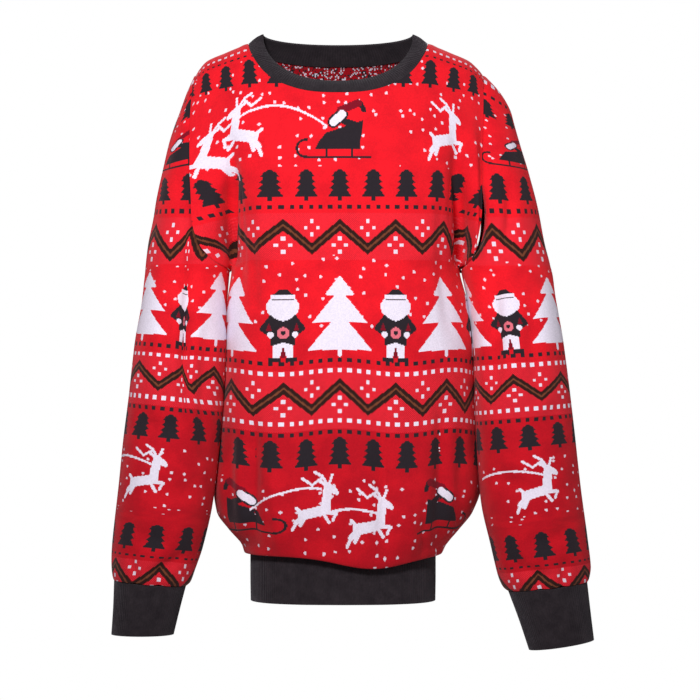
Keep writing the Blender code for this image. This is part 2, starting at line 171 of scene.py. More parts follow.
RINGS = table(
    "cloth z lean half_width front back",
    (HEM, -0.6045, 0.000, 0.1128, 0.0985, 0.0925),
    (-0.641, -0.6120, 0.000, 0.1140, 0.1030, 0.0965),
    (-0.631, -0.6210, 0.000, 0.1160, 0.1090, 0.1010),
    (-0.622, -0.6235, 0.000, 0.1185, 0.1140, 0.1050),
    (-0.610, -0.6120, 0.001, 0.1235, 0.1195, 0.1090),
    (-0.590, -0.5900, 0.001, 0.1390, 0.1240, 0.1110),
    (-0.565, -0.5650, 0.002, 0.1545, 0.1270, 0.1110),
    (-0.530, -0.5300, 0.005, 0.1616, 0.1280, 0.1090),
    (-0.486, -0.4860, 0.006, 0.1587, 0.1275, 0.1060),
    (-0.426, -0.4260, 0.007, 0.1541, 0.1250, 0.1020),
    (-0.366, -0.3660, 0.008, 0.1507, 0.1210, 0.1000),
    (-0.306, -0.3060, 0.005, 0.1445, 0.1180, 0.1000),
    (UNDERARM, -0.2700, 0.003, 0.1378, 0.1170, 0.1005),
)
RING_STEPS = (0.0, 0.38, 0.70, 0.89, 0.975, 0.995, 1.0)
RING_SQUARENESS = 2.5

YOKE = table(
    "cloth z lean front back corner_x corner turn_x turn valley_x valley crest_x crest",
    (-0.2500, -0.250, 0.003, 0.117, 0.101, 0.102, 0.82, 0.124, 0.58, 0.1350, 0.14, 0.1445, 0.33),
    (-0.2250, -0.225, 0.003, 0.116, 0.102, 0.104, 0.83, 0.126, 0.62, 0.1355, 0.25, 0.156, 0.47),
    (-0.1860, -0.186, 0.003, 0.113, 0.104, 0.105, 0.83, 0.126, 0.66, 0.1350, 0.42, 0.157, 0.56),
    (-0.1350, -0.135, 0.002, 0.106, 0.105, 0.105, 0.83, 0.124, 0.72, 0.1350, 0.62, 0.157, 0.60),
    (-0.0900, -0.090, -0.003, 0.094, 0.098, 0.105, 0.82, 0.122, 0.76, 0.1360, 0.70, 0.158, 0.58),
    (-0.0500, -0.050, -0.006, 0.076, 0.080, 0.105, 0.78, 0.122, 0.73, 0.1360, 0.67, 0.159, 0.55),
    (-0.0065, -0.012, -0.006, 0.044, 0.047, 0.106, 0.86, 0.122, 0.84, 0.1370, 0.80, 0.159, 0.66),
    (SHOULDER, 0.004, -0.006, 0.000, 0.000, 0.107, 0.86, 0.122, 0.84, 0.1370, 0.80, 0.159, 0.66),
)
FALL = (0.0, 0.0, 0.0, 0.14, 0.31, 0.58, 1.0)
GUIDES = (0.0, 0.22, 0.44, 0.60, 0.74, 0.87, 1.0, 1.13)
print("the body is", round(SHOULDER - HEM, 3), "m of cloth, drawn through", len(GUIDES), "guides")

# %% [markdown]
# ## The sizes of the arms
#
# A set-in sleeve is one panel bent round the arm and joined under it. Each of its courses is an
# oval. Above the underarm the oval is open towards the body, and the seam angle says where the
# armhole seam crosses it, counted from the outside of the arm. The two arms hang a little
# differently, so each has its own table.

# %% Arm tables
ARM = "cloth z dip middle_x half_width middle_y half_depth seam_angle"
RIGHT_ARM = table(
    ARM,
    (-0.652, -0.6470, -0.007, 0.2300, 0.0432, -0.055, 0.0455, 180),
    (-0.644, -0.6430, -0.008, 0.2285, 0.0462, -0.055, 0.0480, 180),
    (-0.628, -0.6280, -0.008, 0.2262, 0.0498, -0.055, 0.0520, 180),
    (-0.600, -0.6000, -0.008, 0.2208, 0.0540, -0.054, 0.0560, 180),
    (-0.546, -0.5460, -0.008, 0.2118, 0.0570, -0.053, 0.0580, 180),
    (-0.486, -0.4860, -0.008, 0.2052, 0.0576, -0.051, 0.0590, 180),
    (-0.426, -0.4260, -0.008, 0.1991, 0.0565, -0.047, 0.0600, 180),
    (-0.366, -0.3660, -0.006, 0.1944, 0.0552, -0.040, 0.0600, 180),
    (-0.306, -0.3060, -0.004, 0.1900, 0.0510, -0.022, 0.0600, 180),
    (UNDERARM, -0.2740, 0.000, 0.1880, 0.0510, -0.007, 0.0600, 180),
    (-0.2500, -0.2620, 0.000, 0.1860, 0.0520, -0.006, 0.0600, 134),
    (-0.2250, -0.2390, 0.000, 0.1846, 0.0506, -0.006, 0.0600, 104),
    (-0.1860, -0.1990, 0.000, 0.1805, 0.0470, -0.006, 0.0580, 89),
    (-0.1350, -0.1470, 0.006, 0.1835, 0.0350, -0.004, 0.0530, 90),
    (-0.0900, -0.1020, 0.014, 0.1840, 0.0260, -0.002, 0.0430, 90),
    (-0.0500, -0.0640, 0.020, 0.1825, 0.0165, -0.001, 0.0320, 90),
    (-0.0065, -0.0420, 0.012, 0.1800, 0.0080, 0.000, 0.0200, 90),
    (SHOULDER, -0.0330, 0.000, 0.1780, 0.0010, 0.000, 0.0006, 90),
)
LEFT_ARM = table(
    ARM,
    (-0.658, -0.6530, -0.011, 0.2440, 0.0475, -0.055, 0.0480, 180),
    (-0.650, -0.6490, -0.011, 0.2425, 0.0510, -0.055, 0.0500, 180),
    (-0.634, -0.6340, -0.011, 0.2400, 0.0555, -0.055, 0.0540, 180),
    (-0.600, -0.6000, -0.011, 0.2340, 0.0576, -0.054, 0.0570, 180),
    (-0.546, -0.5460, -0.010, 0.2244, 0.0600, -0.053, 0.0590, 180),
    (-0.486, -0.4860, -0.008, 0.2188, 0.0592, -0.051, 0.0600, 180),
    (-0.426, -0.4260, -0.006, 0.2144, 0.0572, -0.047, 0.0600, 180),
    (-0.366, -0.3660, -0.004, 0.2101, 0.0545, -0.040, 0.0600, 180),
    (-0.306, -0.3060, -0.003, 0.2023, 0.0533, -0.022, 0.0600, 180),
    (UNDERARM, -0.2740, 0.000, 0.1978, 0.0548, -0.007, 0.0600, 180),
    (-0.2500, -0.2620, 0.000, 0.1948, 0.0548, -0.006, 0.0600, 147),
    (-0.2250, -0.2390, 0.000, 0.1913, 0.0523, -0.006, 0.0600, 127),
    (-0.1860, -0.1990, 0.000, 0.1870, 0.0490, -0.006, 0.0580, 115),
    (-0.1350, -0.1470, 0.006, 0.1810, 0.0434, -0.004, 0.0540, 110),
    (-0.0900, -0.1020, 0.014, 0.1740, 0.0393, -0.002, 0.0440, 99),
    (-0.0500, -0.0640, 0.020, 0.1690, 0.0356, -0.001, 0.0330, 90),
    (-0.0065, -0.0420, 0.012, 0.1700, 0.0190, 0.000, 0.0200, 90),
    (SHOULDER, -0.0330, 0.000, 0.1690, 0.0010, 0.000, 0.0006, 90),
)
ARMS = {-1: RIGHT_ARM, 1: LEFT_ARM}
SIDE_NAME = {-1: "right", 1: "left"}
print("arm rows:", {SIDE_NAME[side]: len(rows) for side, rows in ARMS.items()})

# %% [markdown]
# ## Smooth curves through a few sizes
#
# Knitted cloth has no corners, so the sizes between two rows of a table are read from a cubic curve
# that passes through every row and never overshoots one. The first function reads one set of
# curves at many places. The second reads a different curve for every point, which is what a course
# needs when each of its points has its own share of the way to the side.

# %% Smooth readers
def slopes_of(knots, values):
    """Slopes at the knots of curves along the first axis, which never overshoot."""
    widths = np.diff(knots).reshape((-1,) + (1,) * (values.ndim - 1))
    steps = np.diff(values, axis=0) / widths
    slopes = np.empty_like(values)
    before, after = steps[:-1], steps[1:]
    both = before * after
    slopes[1:-1] = np.where(both > 0, 2 * both / np.where(both > 0, before + after, 1), 0.0)
    slopes[0], slopes[-1] = steps[0], steps[-1]
    return slopes


def blend(part, width, low, low_slope, high, high_slope):
    """The cubic between two knots."""
    return (
        low * (1 + 2 * part) * (1 - part) ** 2
        + low_slope * width * part * (1 - part) ** 2
        + high * part**2 * (3 - 2 * part)
        + high_slope * width * part**2 * (part - 1)
    )


def smooth(knots, values, at):
    """Reads the curves through the values at every place in `at`."""
    knots, values = np.asarray(knots, float), np.asarray(values, float)
    slopes = slopes_of(knots, values)
    at = np.clip(np.atleast_1d(np.asarray(at, float)), knots[0], knots[-1])
    i = np.clip(np.searchsorted(knots, at, side="right") - 1, 0, len(knots) - 2)
    shape = (-1,) + (1,) * (values.ndim - 1)
    width = (knots[i + 1] - knots[i]).reshape(shape)
    part = ((at - knots[i])).reshape(shape) / width
    return blend(part, width, values[i], slopes[i], values[i + 1], slopes[i + 1])


def smooth_each(knots, curves, at):
    """Reads one curve for each place: curves has a row for each place, then a knot, then x, y, z."""
    knots = np.asarray(knots, float)
    values = np.swapaxes(curves, 0, 1)
    slopes = slopes_of(knots, values)
    i = np.clip(np.searchsorted(knots, at, side="right") - 1, 0, len(knots) - 2)
    width = (knots[i + 1] - knots[i])[:, None]
    part = (at - knots[i])[:, None] / width
    own = np.arange(len(at))
    return blend(part, width, values[i, own], slopes[i, own], values[i + 1, own], slopes[i + 1, own])
print("halfway along a rise from 0 to 1:", smooth([0, 1, 2], [0, 1, 1], 0.5))

# %% [markdown]
# ## Where a point of the cloth lies
#
# `arm_point` gives a point on the oval of an arm. `body_guides` gives a few points of each course of
# the body, the last two of them on the arm's oval, so that a panel and a sleeve always meet on one
# seam line. `body_point` reads any point of the body's cloth between those.

# %% Body and arm points
def arm_section(side, cloth):
    """The arm's row at any cloth height."""
    rows = ARMS[side]
    return smooth([row.cloth for row in rows], [row[1:] for row in rows], cloth)


def arm_point(section, angle):
    """A point on the arm's oval, at an angle from the outside, for x measured outwards."""
    z, dip, middle_x, half_width, middle_y, half_depth, seam = np.moveaxis(section, -1, 0)
    turned = np.radians(angle)
    start = np.cos(np.radians(seam))
    fall = dip * (np.cos(turned) - start) / (1 - start)
    return np.stack(
        [middle_x + half_width * np.cos(turned), middle_y + half_depth * np.sin(turned), z - fall],
        axis=-1,
    )


def body_guides(side, forward):
    """Guide points of every course from the middle to the side or armhole, and one beyond it."""
    heights, guides = [], []
    for row in RINGS:
        depth = row.front if forward < 0 else row.back
        points = []
        for step in RING_STEPS + (RING_STEPS[-2],):
            deep = (1 - step**RING_SQUARENESS) ** (1 / RING_SQUARENESS) * depth
            points.append((row.lean * side + step * row.half_width, forward * deep, row.z))
        points[-1] = (points[-1][0], -points[-1][1], row.z)
        heights.append(row.cloth)
        guides.append(points)
    for row in YOKE:
        depth = row.front if forward < 0 else row.back
        section = arm_section(side, row.cloth)[0]
        end = arm_point(section, forward * section[6])
        beyond = arm_point(section, forward * max(section[6] - BEYOND, 0))
        shares = (
            (0.0, 1.0),
            (0.5 * row.corner_x, 1 - CHEST_ROUNDING * (1 - row.corner)),
            (row.corner_x, row.corner),
            (row.turn_x, row.turn),
            (row.valley_x, row.valley),
            (row.crest_x, row.crest),
        )
        points = [
            (row.lean * side + x, forward * share * depth, row.z - (row.z - end[2]) * fall)
            for (x, share), fall in zip(shares, FALL)
        ]
        heights.append(row.cloth)
        guides.append(points + [tuple(end), tuple(beyond)])
    last, ridge = guides[-1], guides[-2]
    heights.append(2 * heights[-1] - heights[-2])
    guides.append([(r[0], 2 * p[1] - r[1], r[2]) for p, r in zip(last, ridge)])
    return np.array(heights), np.array(guides)


def body_point(side, forward, out, cloth, guides):
    """Points of the body's cloth, at shares `out` of the half course and cloth heights."""
    heights, points = guides
    cloth = np.asarray(cloth, float)
    along = smooth(heights, points, cloth)
    section = arm_section(side, np.minimum(cloth, SHOULDER))
    seam = np.minimum(section[:, 6] + PANEL_TURN, 180.0)
    above = cloth > UNDERARM
    along[above, 6] = arm_point(section, forward * seam)[above]
    along[above, 7] = arm_point(section, forward * np.maximum(seam - BEYOND, 0))[above]
    found = smooth_each(GUIDES, along, np.asarray(out, float))
    found[:, 0] *= side
    return found


print("chest corner:", body_point(1, -1, [0.44], [-0.186], body_guides(1, -1))[0].round(4))

# %% [markdown]
# ## The lie of the charted pattern
#
# The pattern is charted in stitches: so many across, counted from the middle of the front, and so
# many courses down. Each point of cloth therefore needs its place on the chart, and that is what
# the pieces' `chart` map holds. Across, the place is the length of the course from the panel's
# middle, because knitting doesn't shrink where it turns away. Down, it is the cloth height.

# %% Chart places
CHART_TOP = 0.054        # cloth height of the chart's first course
WHOLE_CHART = 3300       # stitches after which every motif of the chart comes round again
CHART_MIDDLE = -0.0036   # where the chart's middle wale hangs
SHOULDER_CROWD = 0.20    # how much the pattern crowds together towards the shoulder tips
CROWD_REACH = 139.0
CROWD_COURSES = (90, 160)
SIDE_SPREAD = 50.0       # stitches from the middle at which the right side's cloth starts to stretch
SIDE_STRETCH = 0.80      # stitches there for each one of slack cloth
WAVE = 2.2               # courses by which the middle of the body ripples up and down
WAVE_LENGTH = 38.0


def course_lengths(side, forward, guides):
    """Lengths along the courses from the middle out, to read at any share and cloth height."""
    levels = np.linspace(HEM, SHOULDER, 150)
    shares = np.linspace(0, 1, 161)
    cloth, out = np.meshgrid(levels, shares, indexing="ij")
    points = body_point(side, forward, out.ravel(), cloth.ravel(), guides).reshape(150, 161, 3)
    steps = np.linalg.norm(np.diff(points, axis=1), axis=2)
    lengths = np.concatenate([np.zeros((150, 1)), np.cumsum(steps, axis=1)], axis=1)
    return levels, shares, lengths


def read_lengths(found, out, cloth):
    levels, shares, lengths = found
    row = np.interp(cloth, levels, np.arange(len(levels)))
    column = np.interp(out, shares, np.arange(len(shares)))
    i = np.minimum(row.astype(int), len(levels) - 2)
    j = np.minimum(column.astype(int), len(shares) - 2)
    a, b = row - i, column - j
    low = lengths[i, j] * (1 - b) + lengths[i, j + 1] * b
    high = lengths[i + 1, j] * (1 - b) + lengths[i + 1, j + 1] * b
    return low * (1 - a) + high * a


def body_chart(across, cloth, lean, forward):
    """Chart places of body points, from the length across and the cloth height."""
    down = (CHART_TOP - cloth) / STITCH
    stitches = across / STITCH + (lean - CHART_MIDDLE) / STITCH
    high = np.clip((CROWD_COURSES[1] - down) / (CROWD_COURSES[1] - CROWD_COURSES[0]), 0, 1)
    stitches = stitches * (1 + SHOULDER_CROWD * high * np.minimum((stitches / CROWD_REACH) ** 2, 1.6))
    spread = np.minimum(stitches + SIDE_SPREAD, 0) * (1 - SIDE_STRETCH) * (1 - high)
    stitches = stitches - spread
    calm = np.clip((down - 290) / 50, 0, 1) * np.clip((540 - down) / 60, 0, 1)
    down = down + WAVE * calm * np.sin((stitches + 30) / WAVE_LENGTH * 2)
    if forward > 0:
        stitches = WHOLE_CHART - stitches
    return stitches, down


print("course under the arm:", course_lengths(1, -1, body_guides(1, -1))[2][87, -1].round(3), "m a quarter")

# %% [markdown]
# ## From a grid of points to a piece of cloth
#
# A knitted panel is one wall. Its outer face is worked out as a grid of points, with a place on the
# chart for each, and Solidify gives the wall its thickness inwards. A grid made point by point is used
# rather than a primitive because each row of points is a course of the knitting, so the fabric's own
# lines stay level where a real one's do. The wall's inner face takes the second material, which is
# the jersey's wrong side.

# %% Grid tools
JERSEY = 0.0018
RIB = 0.0030
SEAM_GAP = 0.0003
SEAM_ROLL = 0.0006       # how far a sewn edge turns in
SEAM_REACH = 0.0035
WELD = 0.00004


def normals_of(grid, flip):
    """Outward normals of a grid of points."""
    across = np.gradient(grid, axis=1)
    along = np.gradient(grid, axis=0)
    normal = np.cross(across, along)
    normal /= np.maximum(np.linalg.norm(normal, axis=2, keepdims=True), 1e-12)
    return -normal if flip else normal


def edge_distance(grid, axis):
    """How far each point is from the nearer end of its row, along the cloth."""
    steps = np.linalg.norm(np.diff(grid, axis=axis), axis=2)
    zero = np.zeros_like(np.take(steps, [0], axis=axis))
    first = np.concatenate([zero, np.cumsum(steps, axis=axis)], axis=axis)
    last = np.take(first, [-1], axis=axis) - first
    return np.minimum(first, last)


def make_sheet(name, grid, chart, wall, flip, materials):
    """A wall of cloth through the grid. Its edges that meet are welded."""
    rows, count = grid.shape[:2]
    index = np.arange(rows * count).reshape(rows, count)
    faces = np.stack([index[:-1, :-1], index[:-1, 1:], index[1:, 1:], index[1:, :-1]], axis=-1)
    faces = faces.reshape(-1, 4)
    faces = faces[:, ::-1] if flip else faces
    mesh = bpy.data.meshes.new(name)
    mesh.from_pydata(grid.reshape(-1, 3).tolist(), [], faces.tolist())
    layer = mesh.uv_layers.new(name="chart")
    layer.uv.foreach_set("vector", chart.reshape(-1, 2)[faces.ravel()].astype(np.float32).ravel())
    piece = bpy.data.objects.new(name, mesh)
    bpy.context.scene.collection.objects.link(piece)
    for material in materials:
        mesh.materials.append(material)
    for kind, label in (("WELD", "Join"), ("SOLIDIFY", "Wall")):
        modifier = piece.modifiers.new(label, kind)
        if kind == "WELD":
            modifier.merge_threshold = WELD
        else:
            modifier.thickness = wall
            modifier.offset = -1
            modifier.use_even_offset = False
            modifier.material_offset = len(materials) - 1
    bpy.ops.object.select_all(action="DESELECT")
    piece.select_set(True)
    bpy.context.view_layer.objects.active = piece
    for label in ("Join", "Wall"):
        bpy.ops.object.modifier_apply(modifier=label)
    bpy.ops.object.shade_smooth_by_angle(angle=math.radians(50))
    piece.select_set(False)
    triangles = sum(len(face.vertices) - 2 for face in mesh.polygons)
    print(name, triangles, "triangles")
    return piece


# %% [markdown]
# ## Folds
#
# Fine jersey hangs in long shallow troughs below the arms and in short bent ones where an arm
# turns. Each fold is given as a bent stroke over the cloth seen from its own side, with
# its own length, width and depth. A negative depth is a ridge. The folds press the cloth along its
# normal, so they turn the light but hardly change the outline.

# %% Tables of folds
FOLD = "x0 z0 x1 z1 x2 z2 width depth"
FOLDS = {
    "front": table(
        FOLD,
        (-0.1385, -0.245, -0.1400, -0.310, -0.1410, -0.400, 0.0070, -0.0016),
        (0.1450, -0.245, 0.1490, -0.310, 0.1560, -0.390, 0.0070, -0.0016),
        (-0.1330, -0.135, -0.1290, -0.215, -0.1190, -0.330, 0.0095, 0.0042),
        (-0.1180, -0.160, -0.1090, -0.250, -0.1020, -0.340, 0.0085, 0.0022),
        (0.1340, -0.130, 0.1370, -0.210, 0.1420, -0.300, 0.0090, 0.0040),
        (0.1180, -0.170, 0.1180, -0.260, 0.1280, -0.350, 0.0085, 0.0024),
        (-0.1060, -0.440, -0.1090, -0.520, -0.1080, -0.604, 0.0110, 0.0062),
        (-0.0850, -0.500, -0.0790, -0.560, -0.0770, -0.606, 0.0070, -0.0022),
        (-0.0290, -0.470, -0.0230, -0.540, -0.0230, -0.608, 0.0085, 0.0044),
        (0.0080, -0.520, 0.0120, -0.570, 0.0130, -0.612, 0.0060, 0.0022),
        (0.0420, -0.450, 0.0470, -0.530, 0.0500, -0.614, 0.0100, 0.0052),
        (0.0760, -0.520, 0.0800, -0.570, 0.0830, -0.610, 0.0065, -0.0020),
        (0.1180, -0.420, 0.1190, -0.520, 0.1130, -0.606, 0.0110, 0.0064),
        (0.1390, -0.450, 0.1420, -0.510, 0.1350, -0.580, 0.0080, 0.0032),
        (-0.1320, -0.455, -0.1370, -0.520, -0.1310, -0.580, 0.0080, 0.0034),
        (-0.0550, -0.560, -0.0520, -0.585, -0.0510, -0.610, 0.0050, 0.0022),
        (-0.0700, -0.235, -0.0120, -0.262, 0.0450, -0.245, 0.0150, 0.0014),
        (0.0300, -0.350, 0.0720, -0.372, 0.1130, -0.352, 0.0140, 0.0014),
        (-0.1150, -0.395, -0.0660, -0.412, -0.0180, -0.392, 0.0130, 0.0013),
        (0.0940, -0.545, 0.0970, -0.580, 0.0960, -0.610, 0.0050, 0.0024),
    ),
    "back": table(
        FOLD,
        (-0.1300, -0.150, -0.1240, -0.240, -0.1130, -0.350, 0.0095, 0.0038),
        (0.1310, -0.140, 0.1300, -0.230, 0.1350, -0.320, 0.0095, 0.0036),
        (-0.0900, -0.455, -0.0930, -0.530, -0.0900, -0.604, 0.0105, 0.0052),
        (-0.0520, -0.530, -0.0490, -0.570, -0.0480, -0.608, 0.0065, -0.0020),
        (0.0150, -0.480, 0.0170, -0.550, 0.0150, -0.608, 0.0090, 0.0042),
        (0.0560, -0.540, 0.0540, -0.580, 0.0560, -0.608, 0.0060, 0.0024),
        (0.0980, -0.450, 0.0970, -0.530, 0.0940, -0.604, 0.0105, 0.0056),
        (-0.0250, -0.140, -0.0300, -0.250, -0.0180, -0.370, 0.0130, 0.0018),
        (0.0380, -0.150, 0.0460, -0.240, 0.0360, -0.330, 0.0120, 0.0016),
        (-0.1250, -0.430, -0.1310, -0.500, -0.1270, -0.570, 0.0085, 0.0030),
        (0.1330, -0.440, 0.1370, -0.500, 0.1310, -0.570, 0.0085, 0.0032),
        (-0.0800, -0.215, 0.0050, -0.235, 0.0800, -0.218, 0.0150, 0.0013),
    ),
    "sleeve_right": table(
        FOLD,
        (-0.1815, -0.255, -0.1860, -0.350, -0.1870, -0.440, 0.0085, 0.0068),
        (-0.2110, -0.290, -0.2090, -0.370, -0.2150, -0.450, 0.0100, 0.0024),
        (-0.1590, -0.330, -0.1640, -0.420, -0.1620, -0.500, 0.0080, 0.0030),
        (-0.2480, -0.430, -0.2210, -0.455, -0.1870, -0.452, 0.0090, 0.0036),
        (-0.1650, -0.520, -0.1950, -0.535, -0.2280, -0.525, 0.0085, 0.0030),
        (-0.2620, -0.560, -0.2330, -0.585, -0.2010, -0.590, 0.0085, 0.0030),
        (-0.1840, -0.600, -0.2080, -0.622, -0.2350, -0.630, 0.0070, 0.0034),
        (-0.2500, -0.600, -0.2470, -0.625, -0.2430, -0.645, 0.0055, 0.0026),
        (-0.2120, -0.610, -0.2160, -0.632, -0.2170, -0.648, 0.0050, 0.0024),
        (-0.1930, -0.160, -0.1840, -0.205, -0.1640, -0.245, 0.0100, 0.0030),
    ),
    "sleeve_left": table(
        FOLD,
        (0.1610, -0.175, 0.1625, -0.215, 0.1570, -0.262, 0.0065, 0.0052),
        (0.1960, -0.160, 0.1990, -0.205, 0.1900, -0.250, 0.0070, 0.0042),
        (0.1780, -0.270, 0.1800, -0.350, 0.1760, -0.430, 0.0090, 0.0044),
        (0.2270, -0.280, 0.2240, -0.360, 0.2320, -0.440, 0.0100, 0.0026),
        (0.2600, -0.425, 0.2330, -0.452, 0.2000, -0.448, 0.0090, 0.0036),
        (0.1760, -0.500, 0.2080, -0.530, 0.2420, -0.522, 0.0090, 0.0036),
        (0.2750, -0.560, 0.2460, -0.590, 0.2130, -0.588, 0.0085, 0.0032),
        (0.1920, -0.605, 0.2220, -0.628, 0.2530, -0.630, 0.0070, 0.0034),
        (0.2640, -0.610, 0.2600, -0.632, 0.2570, -0.652, 0.0050, 0.0026),
        (0.2290, -0.615, 0.2310, -0.636, 0.2320, -0.652, 0.0050, 0.0024),
    ),
}
FOLD_SHARE = 1.75            # every depth in the tables is deepened by this
HIDDEN_SLEEVE_SHARE = 0.8    # depth of the like folds on a sleeve's far side, turned over


def stroke_press(x, z, row):
    """How deep one fold presses at places seen from its side."""
    part = np.linspace(0, 1, 11)
    ends = np.array([[row.x0, row.z0], [row.x1, row.z1], [row.x2, row.z2]])
    spine = (
        np.outer((1 - part) ** 2, ends[0])
        + np.outer(2 * part * (1 - part), 2 * ends[1] - (ends[0] + ends[2]) / 2)
        + np.outer(part**2, ends[2])
    )
    best, where = np.full(x.shape, 1e9), np.zeros(x.shape)
    for i, (a, b) in enumerate(zip(spine[:-1], spine[1:])):
        step = b - a
        t = np.clip(((x - a[0]) * step[0] + (z - a[1]) * step[1]) / (step @ step), 0, 1)
        apart = np.hypot(x - a[0] - t * step[0], z - a[1] - t * step[1])
        nearer = apart < best
        best = np.where(nearer, apart, best)
        where = np.where(nearer, (i + t) / 10, where)
    return FOLD_SHARE * row.depth * np.exp(-((best / row.width) ** 2)) * np.sin(math.pi * where) ** 0.6


def press_folds(grid, normal, rows, facing, share=1.0, turned=0.0):
    """Presses the folds into the side of the cloth that faces forward or back."""
    shown = np.clip((facing * normal[:, :, 1] - 0.05) / 0.35, 0, 1)
    depth = sum(stroke_press(grid[:, :, 0], grid[:, :, 2] + turned, row) for row in rows)
    return grid - normal * (depth * shown * share)[:, :, None]


print("folds:", {name: len(rows) for name, rows in FOLDS.items()})

# %% [markdown]
# ## The front and the back
#
# Both are the same cut but for the neckline. Half the columns of points stand inside the neckline,
# close together where it turns up, and the courses bend to follow it. Above the hem band the body
# blouses: the cloth drops past its own seam, turns under and comes back up to it. That turn isn't
# level across the front, because the wearer's belly lifts it at the sides of the middle.

# %% Body panels
COURSES = (
    HEM, -0.643, -0.634, -0.624, -0.610, -0.587, -0.555, -0.510, -0.455, -0.400, -0.345,
    -0.300, UNDERARM, -0.258, -0.243, -0.220, -0.190, -0.155, -0.120, -0.088, -0.057,
    -0.030, -0.006, 0.014, 0.029, SHOULDER,
)
BODY_ROWS = 151
NECK_COLUMNS = 34
SIDE_COLUMNS = 38
BLOUSE = table(
    "cloth lift",
    (-0.530, 0.0), (-0.565, 0.3), (-0.590, 0.6), (-0.610, 0.9), (-0.622, 1.0), (-0.631, 0.95),
    (-0.641, 0.45), (HEM, 0.0),
)
BLOUSE_LIFT = 0.014
BLOUSE_MIDDLE = 0.035
BLOUSE_REACH = 0.055


def neckline(out, depth):
    """Cloth height of the neckline over a column, and of the shoulder seam past it."""
    share = min(out / NECK_SPAN, 1.0)
    dropped = (1 - math.sqrt(max(1 - share**2, 0.0))) ** NECK_ROUNDNESS
    return SHOULDER - depth * (1 - dropped)


def drawn_in(grid, gap):
    """Moves the grid's border inwards along the cloth by half a seam's gap."""
    grid = grid.copy()
    for edge, inner in ((0, 1), (-1, -2)):
        for part in (grid, grid.swapaxes(0, 1)):
            step = part[inner] - part[edge]
            part[edge] += step / np.linalg.norm(step, axis=-1, keepdims=True) * gap / 2
    return grid


def body_panel(forward, depth):
    """The panel's grid, with a row for each course from the hem up, and its chart places."""
    angles = np.linspace(0, math.pi / 2, NECK_COLUMNS)
    shares = np.concatenate([NECK_SPAN * np.sin(angles), np.linspace(NECK_SPAN, 1, SIDE_COLUMNS + 1)[1:]])
    base = np.interp(np.linspace(0, len(COURSES) - 1, BODY_ROWS), np.arange(len(COURSES)), COURSES)
    halves = []
    for side in (-1, 1):
        guides = body_guides(side, forward)
        lengths = course_lengths(side, forward, guides)
        lean = smooth(guides[0], guides[1][:, 0, 0], base) * side
        points, places = [], []
        for out in shares:
            top = neckline(out, depth)
            bent = NECK_BLEND + (base - NECK_BLEND) * (top - NECK_BLEND) / (SHOULDER - NECK_BLEND)
            levels = np.where(base > NECK_BLEND, bent, base)
            points.append(body_point(side, forward, np.full(len(base), out), levels, guides))
            across = side * read_lengths(lengths, out, levels)
            places.append(np.stack(body_chart(across, levels, lean, forward), axis=1))
        halves.append((np.array(points), np.array(places)))
    (right, right_chart), (left, left_chart) = halves
    grid = np.concatenate([right[::-1], left[1:]]).swapaxes(0, 1)
    chart = np.concatenate([right_chart[::-1], left_chart[1:]]).swapaxes(0, 1)
    rows = BLOUSE[::-1]
    lift = np.interp(base, [row.cloth for row in rows], [row.lift for row in rows])
    share = 1 - np.exp(-(((grid[:, :, 0] - BLOUSE_MIDDLE) / BLOUSE_REACH) ** 2))
    grid[:, :, 2] += BLOUSE_LIFT * lift[:, None] * share
    grid = drawn_in(grid, SEAM_GAP)
    normal = normals_of(grid, flip=forward > 0)
    near = edge_distance(grid, 1)
    grid = grid - normal * (SEAM_ROLL * np.exp(-((near / SEAM_REACH) ** 2)))[:, :, None]
    grid = press_folds(grid, normal, FOLDS["front" if forward < 0 else "back"], forward)
    return grid, chart * np.array([STITCH, -STITCH])


panels = {"front": body_panel(-1, NECK_DEPTH), "back": body_panel(1, BACK_NECK_DEPTH)}
for name, (grid, chart) in panels.items():
    print(name, grid.shape, "x", grid[:, :, 0].min().round(3), grid[:, :, 0].max().round(3),
          "z", grid[:, :, 2].min().round(3), grid[:, :, 2].max().round(3))

# %% [markdown]
# ## The sleeves
#
# A sleeve's grid starts at the armhole's front edge, goes round the outside of the arm and ends at
# its back edge. Under the arm the two edges meet and are welded. Its pattern is knitted in the
# same rows as the body's, but it starts at another place across, and where the elbow lets the
# cloth bunch up the rows come closer together. A short table for each arm says which row of the
# chart hangs at which height down its front.

# %% Sleeve panels
SLEEVE_ROWS_BELOW = {
    -1: (-0.652, -0.645, -0.634, -0.612, -0.570, -0.510, -0.455, -0.400, -0.345, -0.300),
    1: (-0.658, -0.651, -0.640, -0.616, -0.570, -0.510, -0.455, -0.400, -0.345, -0.300),
}
SLEEVE_ROWS = 151
SLEEVE_COLUMNS = 45          # of half the sleeve
FIXED_ANGLE = 80.0
ARMHOLE_GAP = 0.0002
SEAM_UNDER = 0.0026      # how far the sleeve's edge runs on under the body's, as its seam allowance
SEAM_SINK = 0.0026       # how deep it lies there
MOST_UNDER = 6.0
TOP_CALM = -0.030        # cloth height above which it no longer does
CUFF_GAP = 0.0004
SLEEVE_ACROSS = 770          # stitches by which a sleeve's chart stands beside the body's
SLEEVE_SHIFT = 45
UNDERSIDE_DROP = -0.003
HEIGHT_UNIT = 0.0012
HEIGHT_START = 45.0
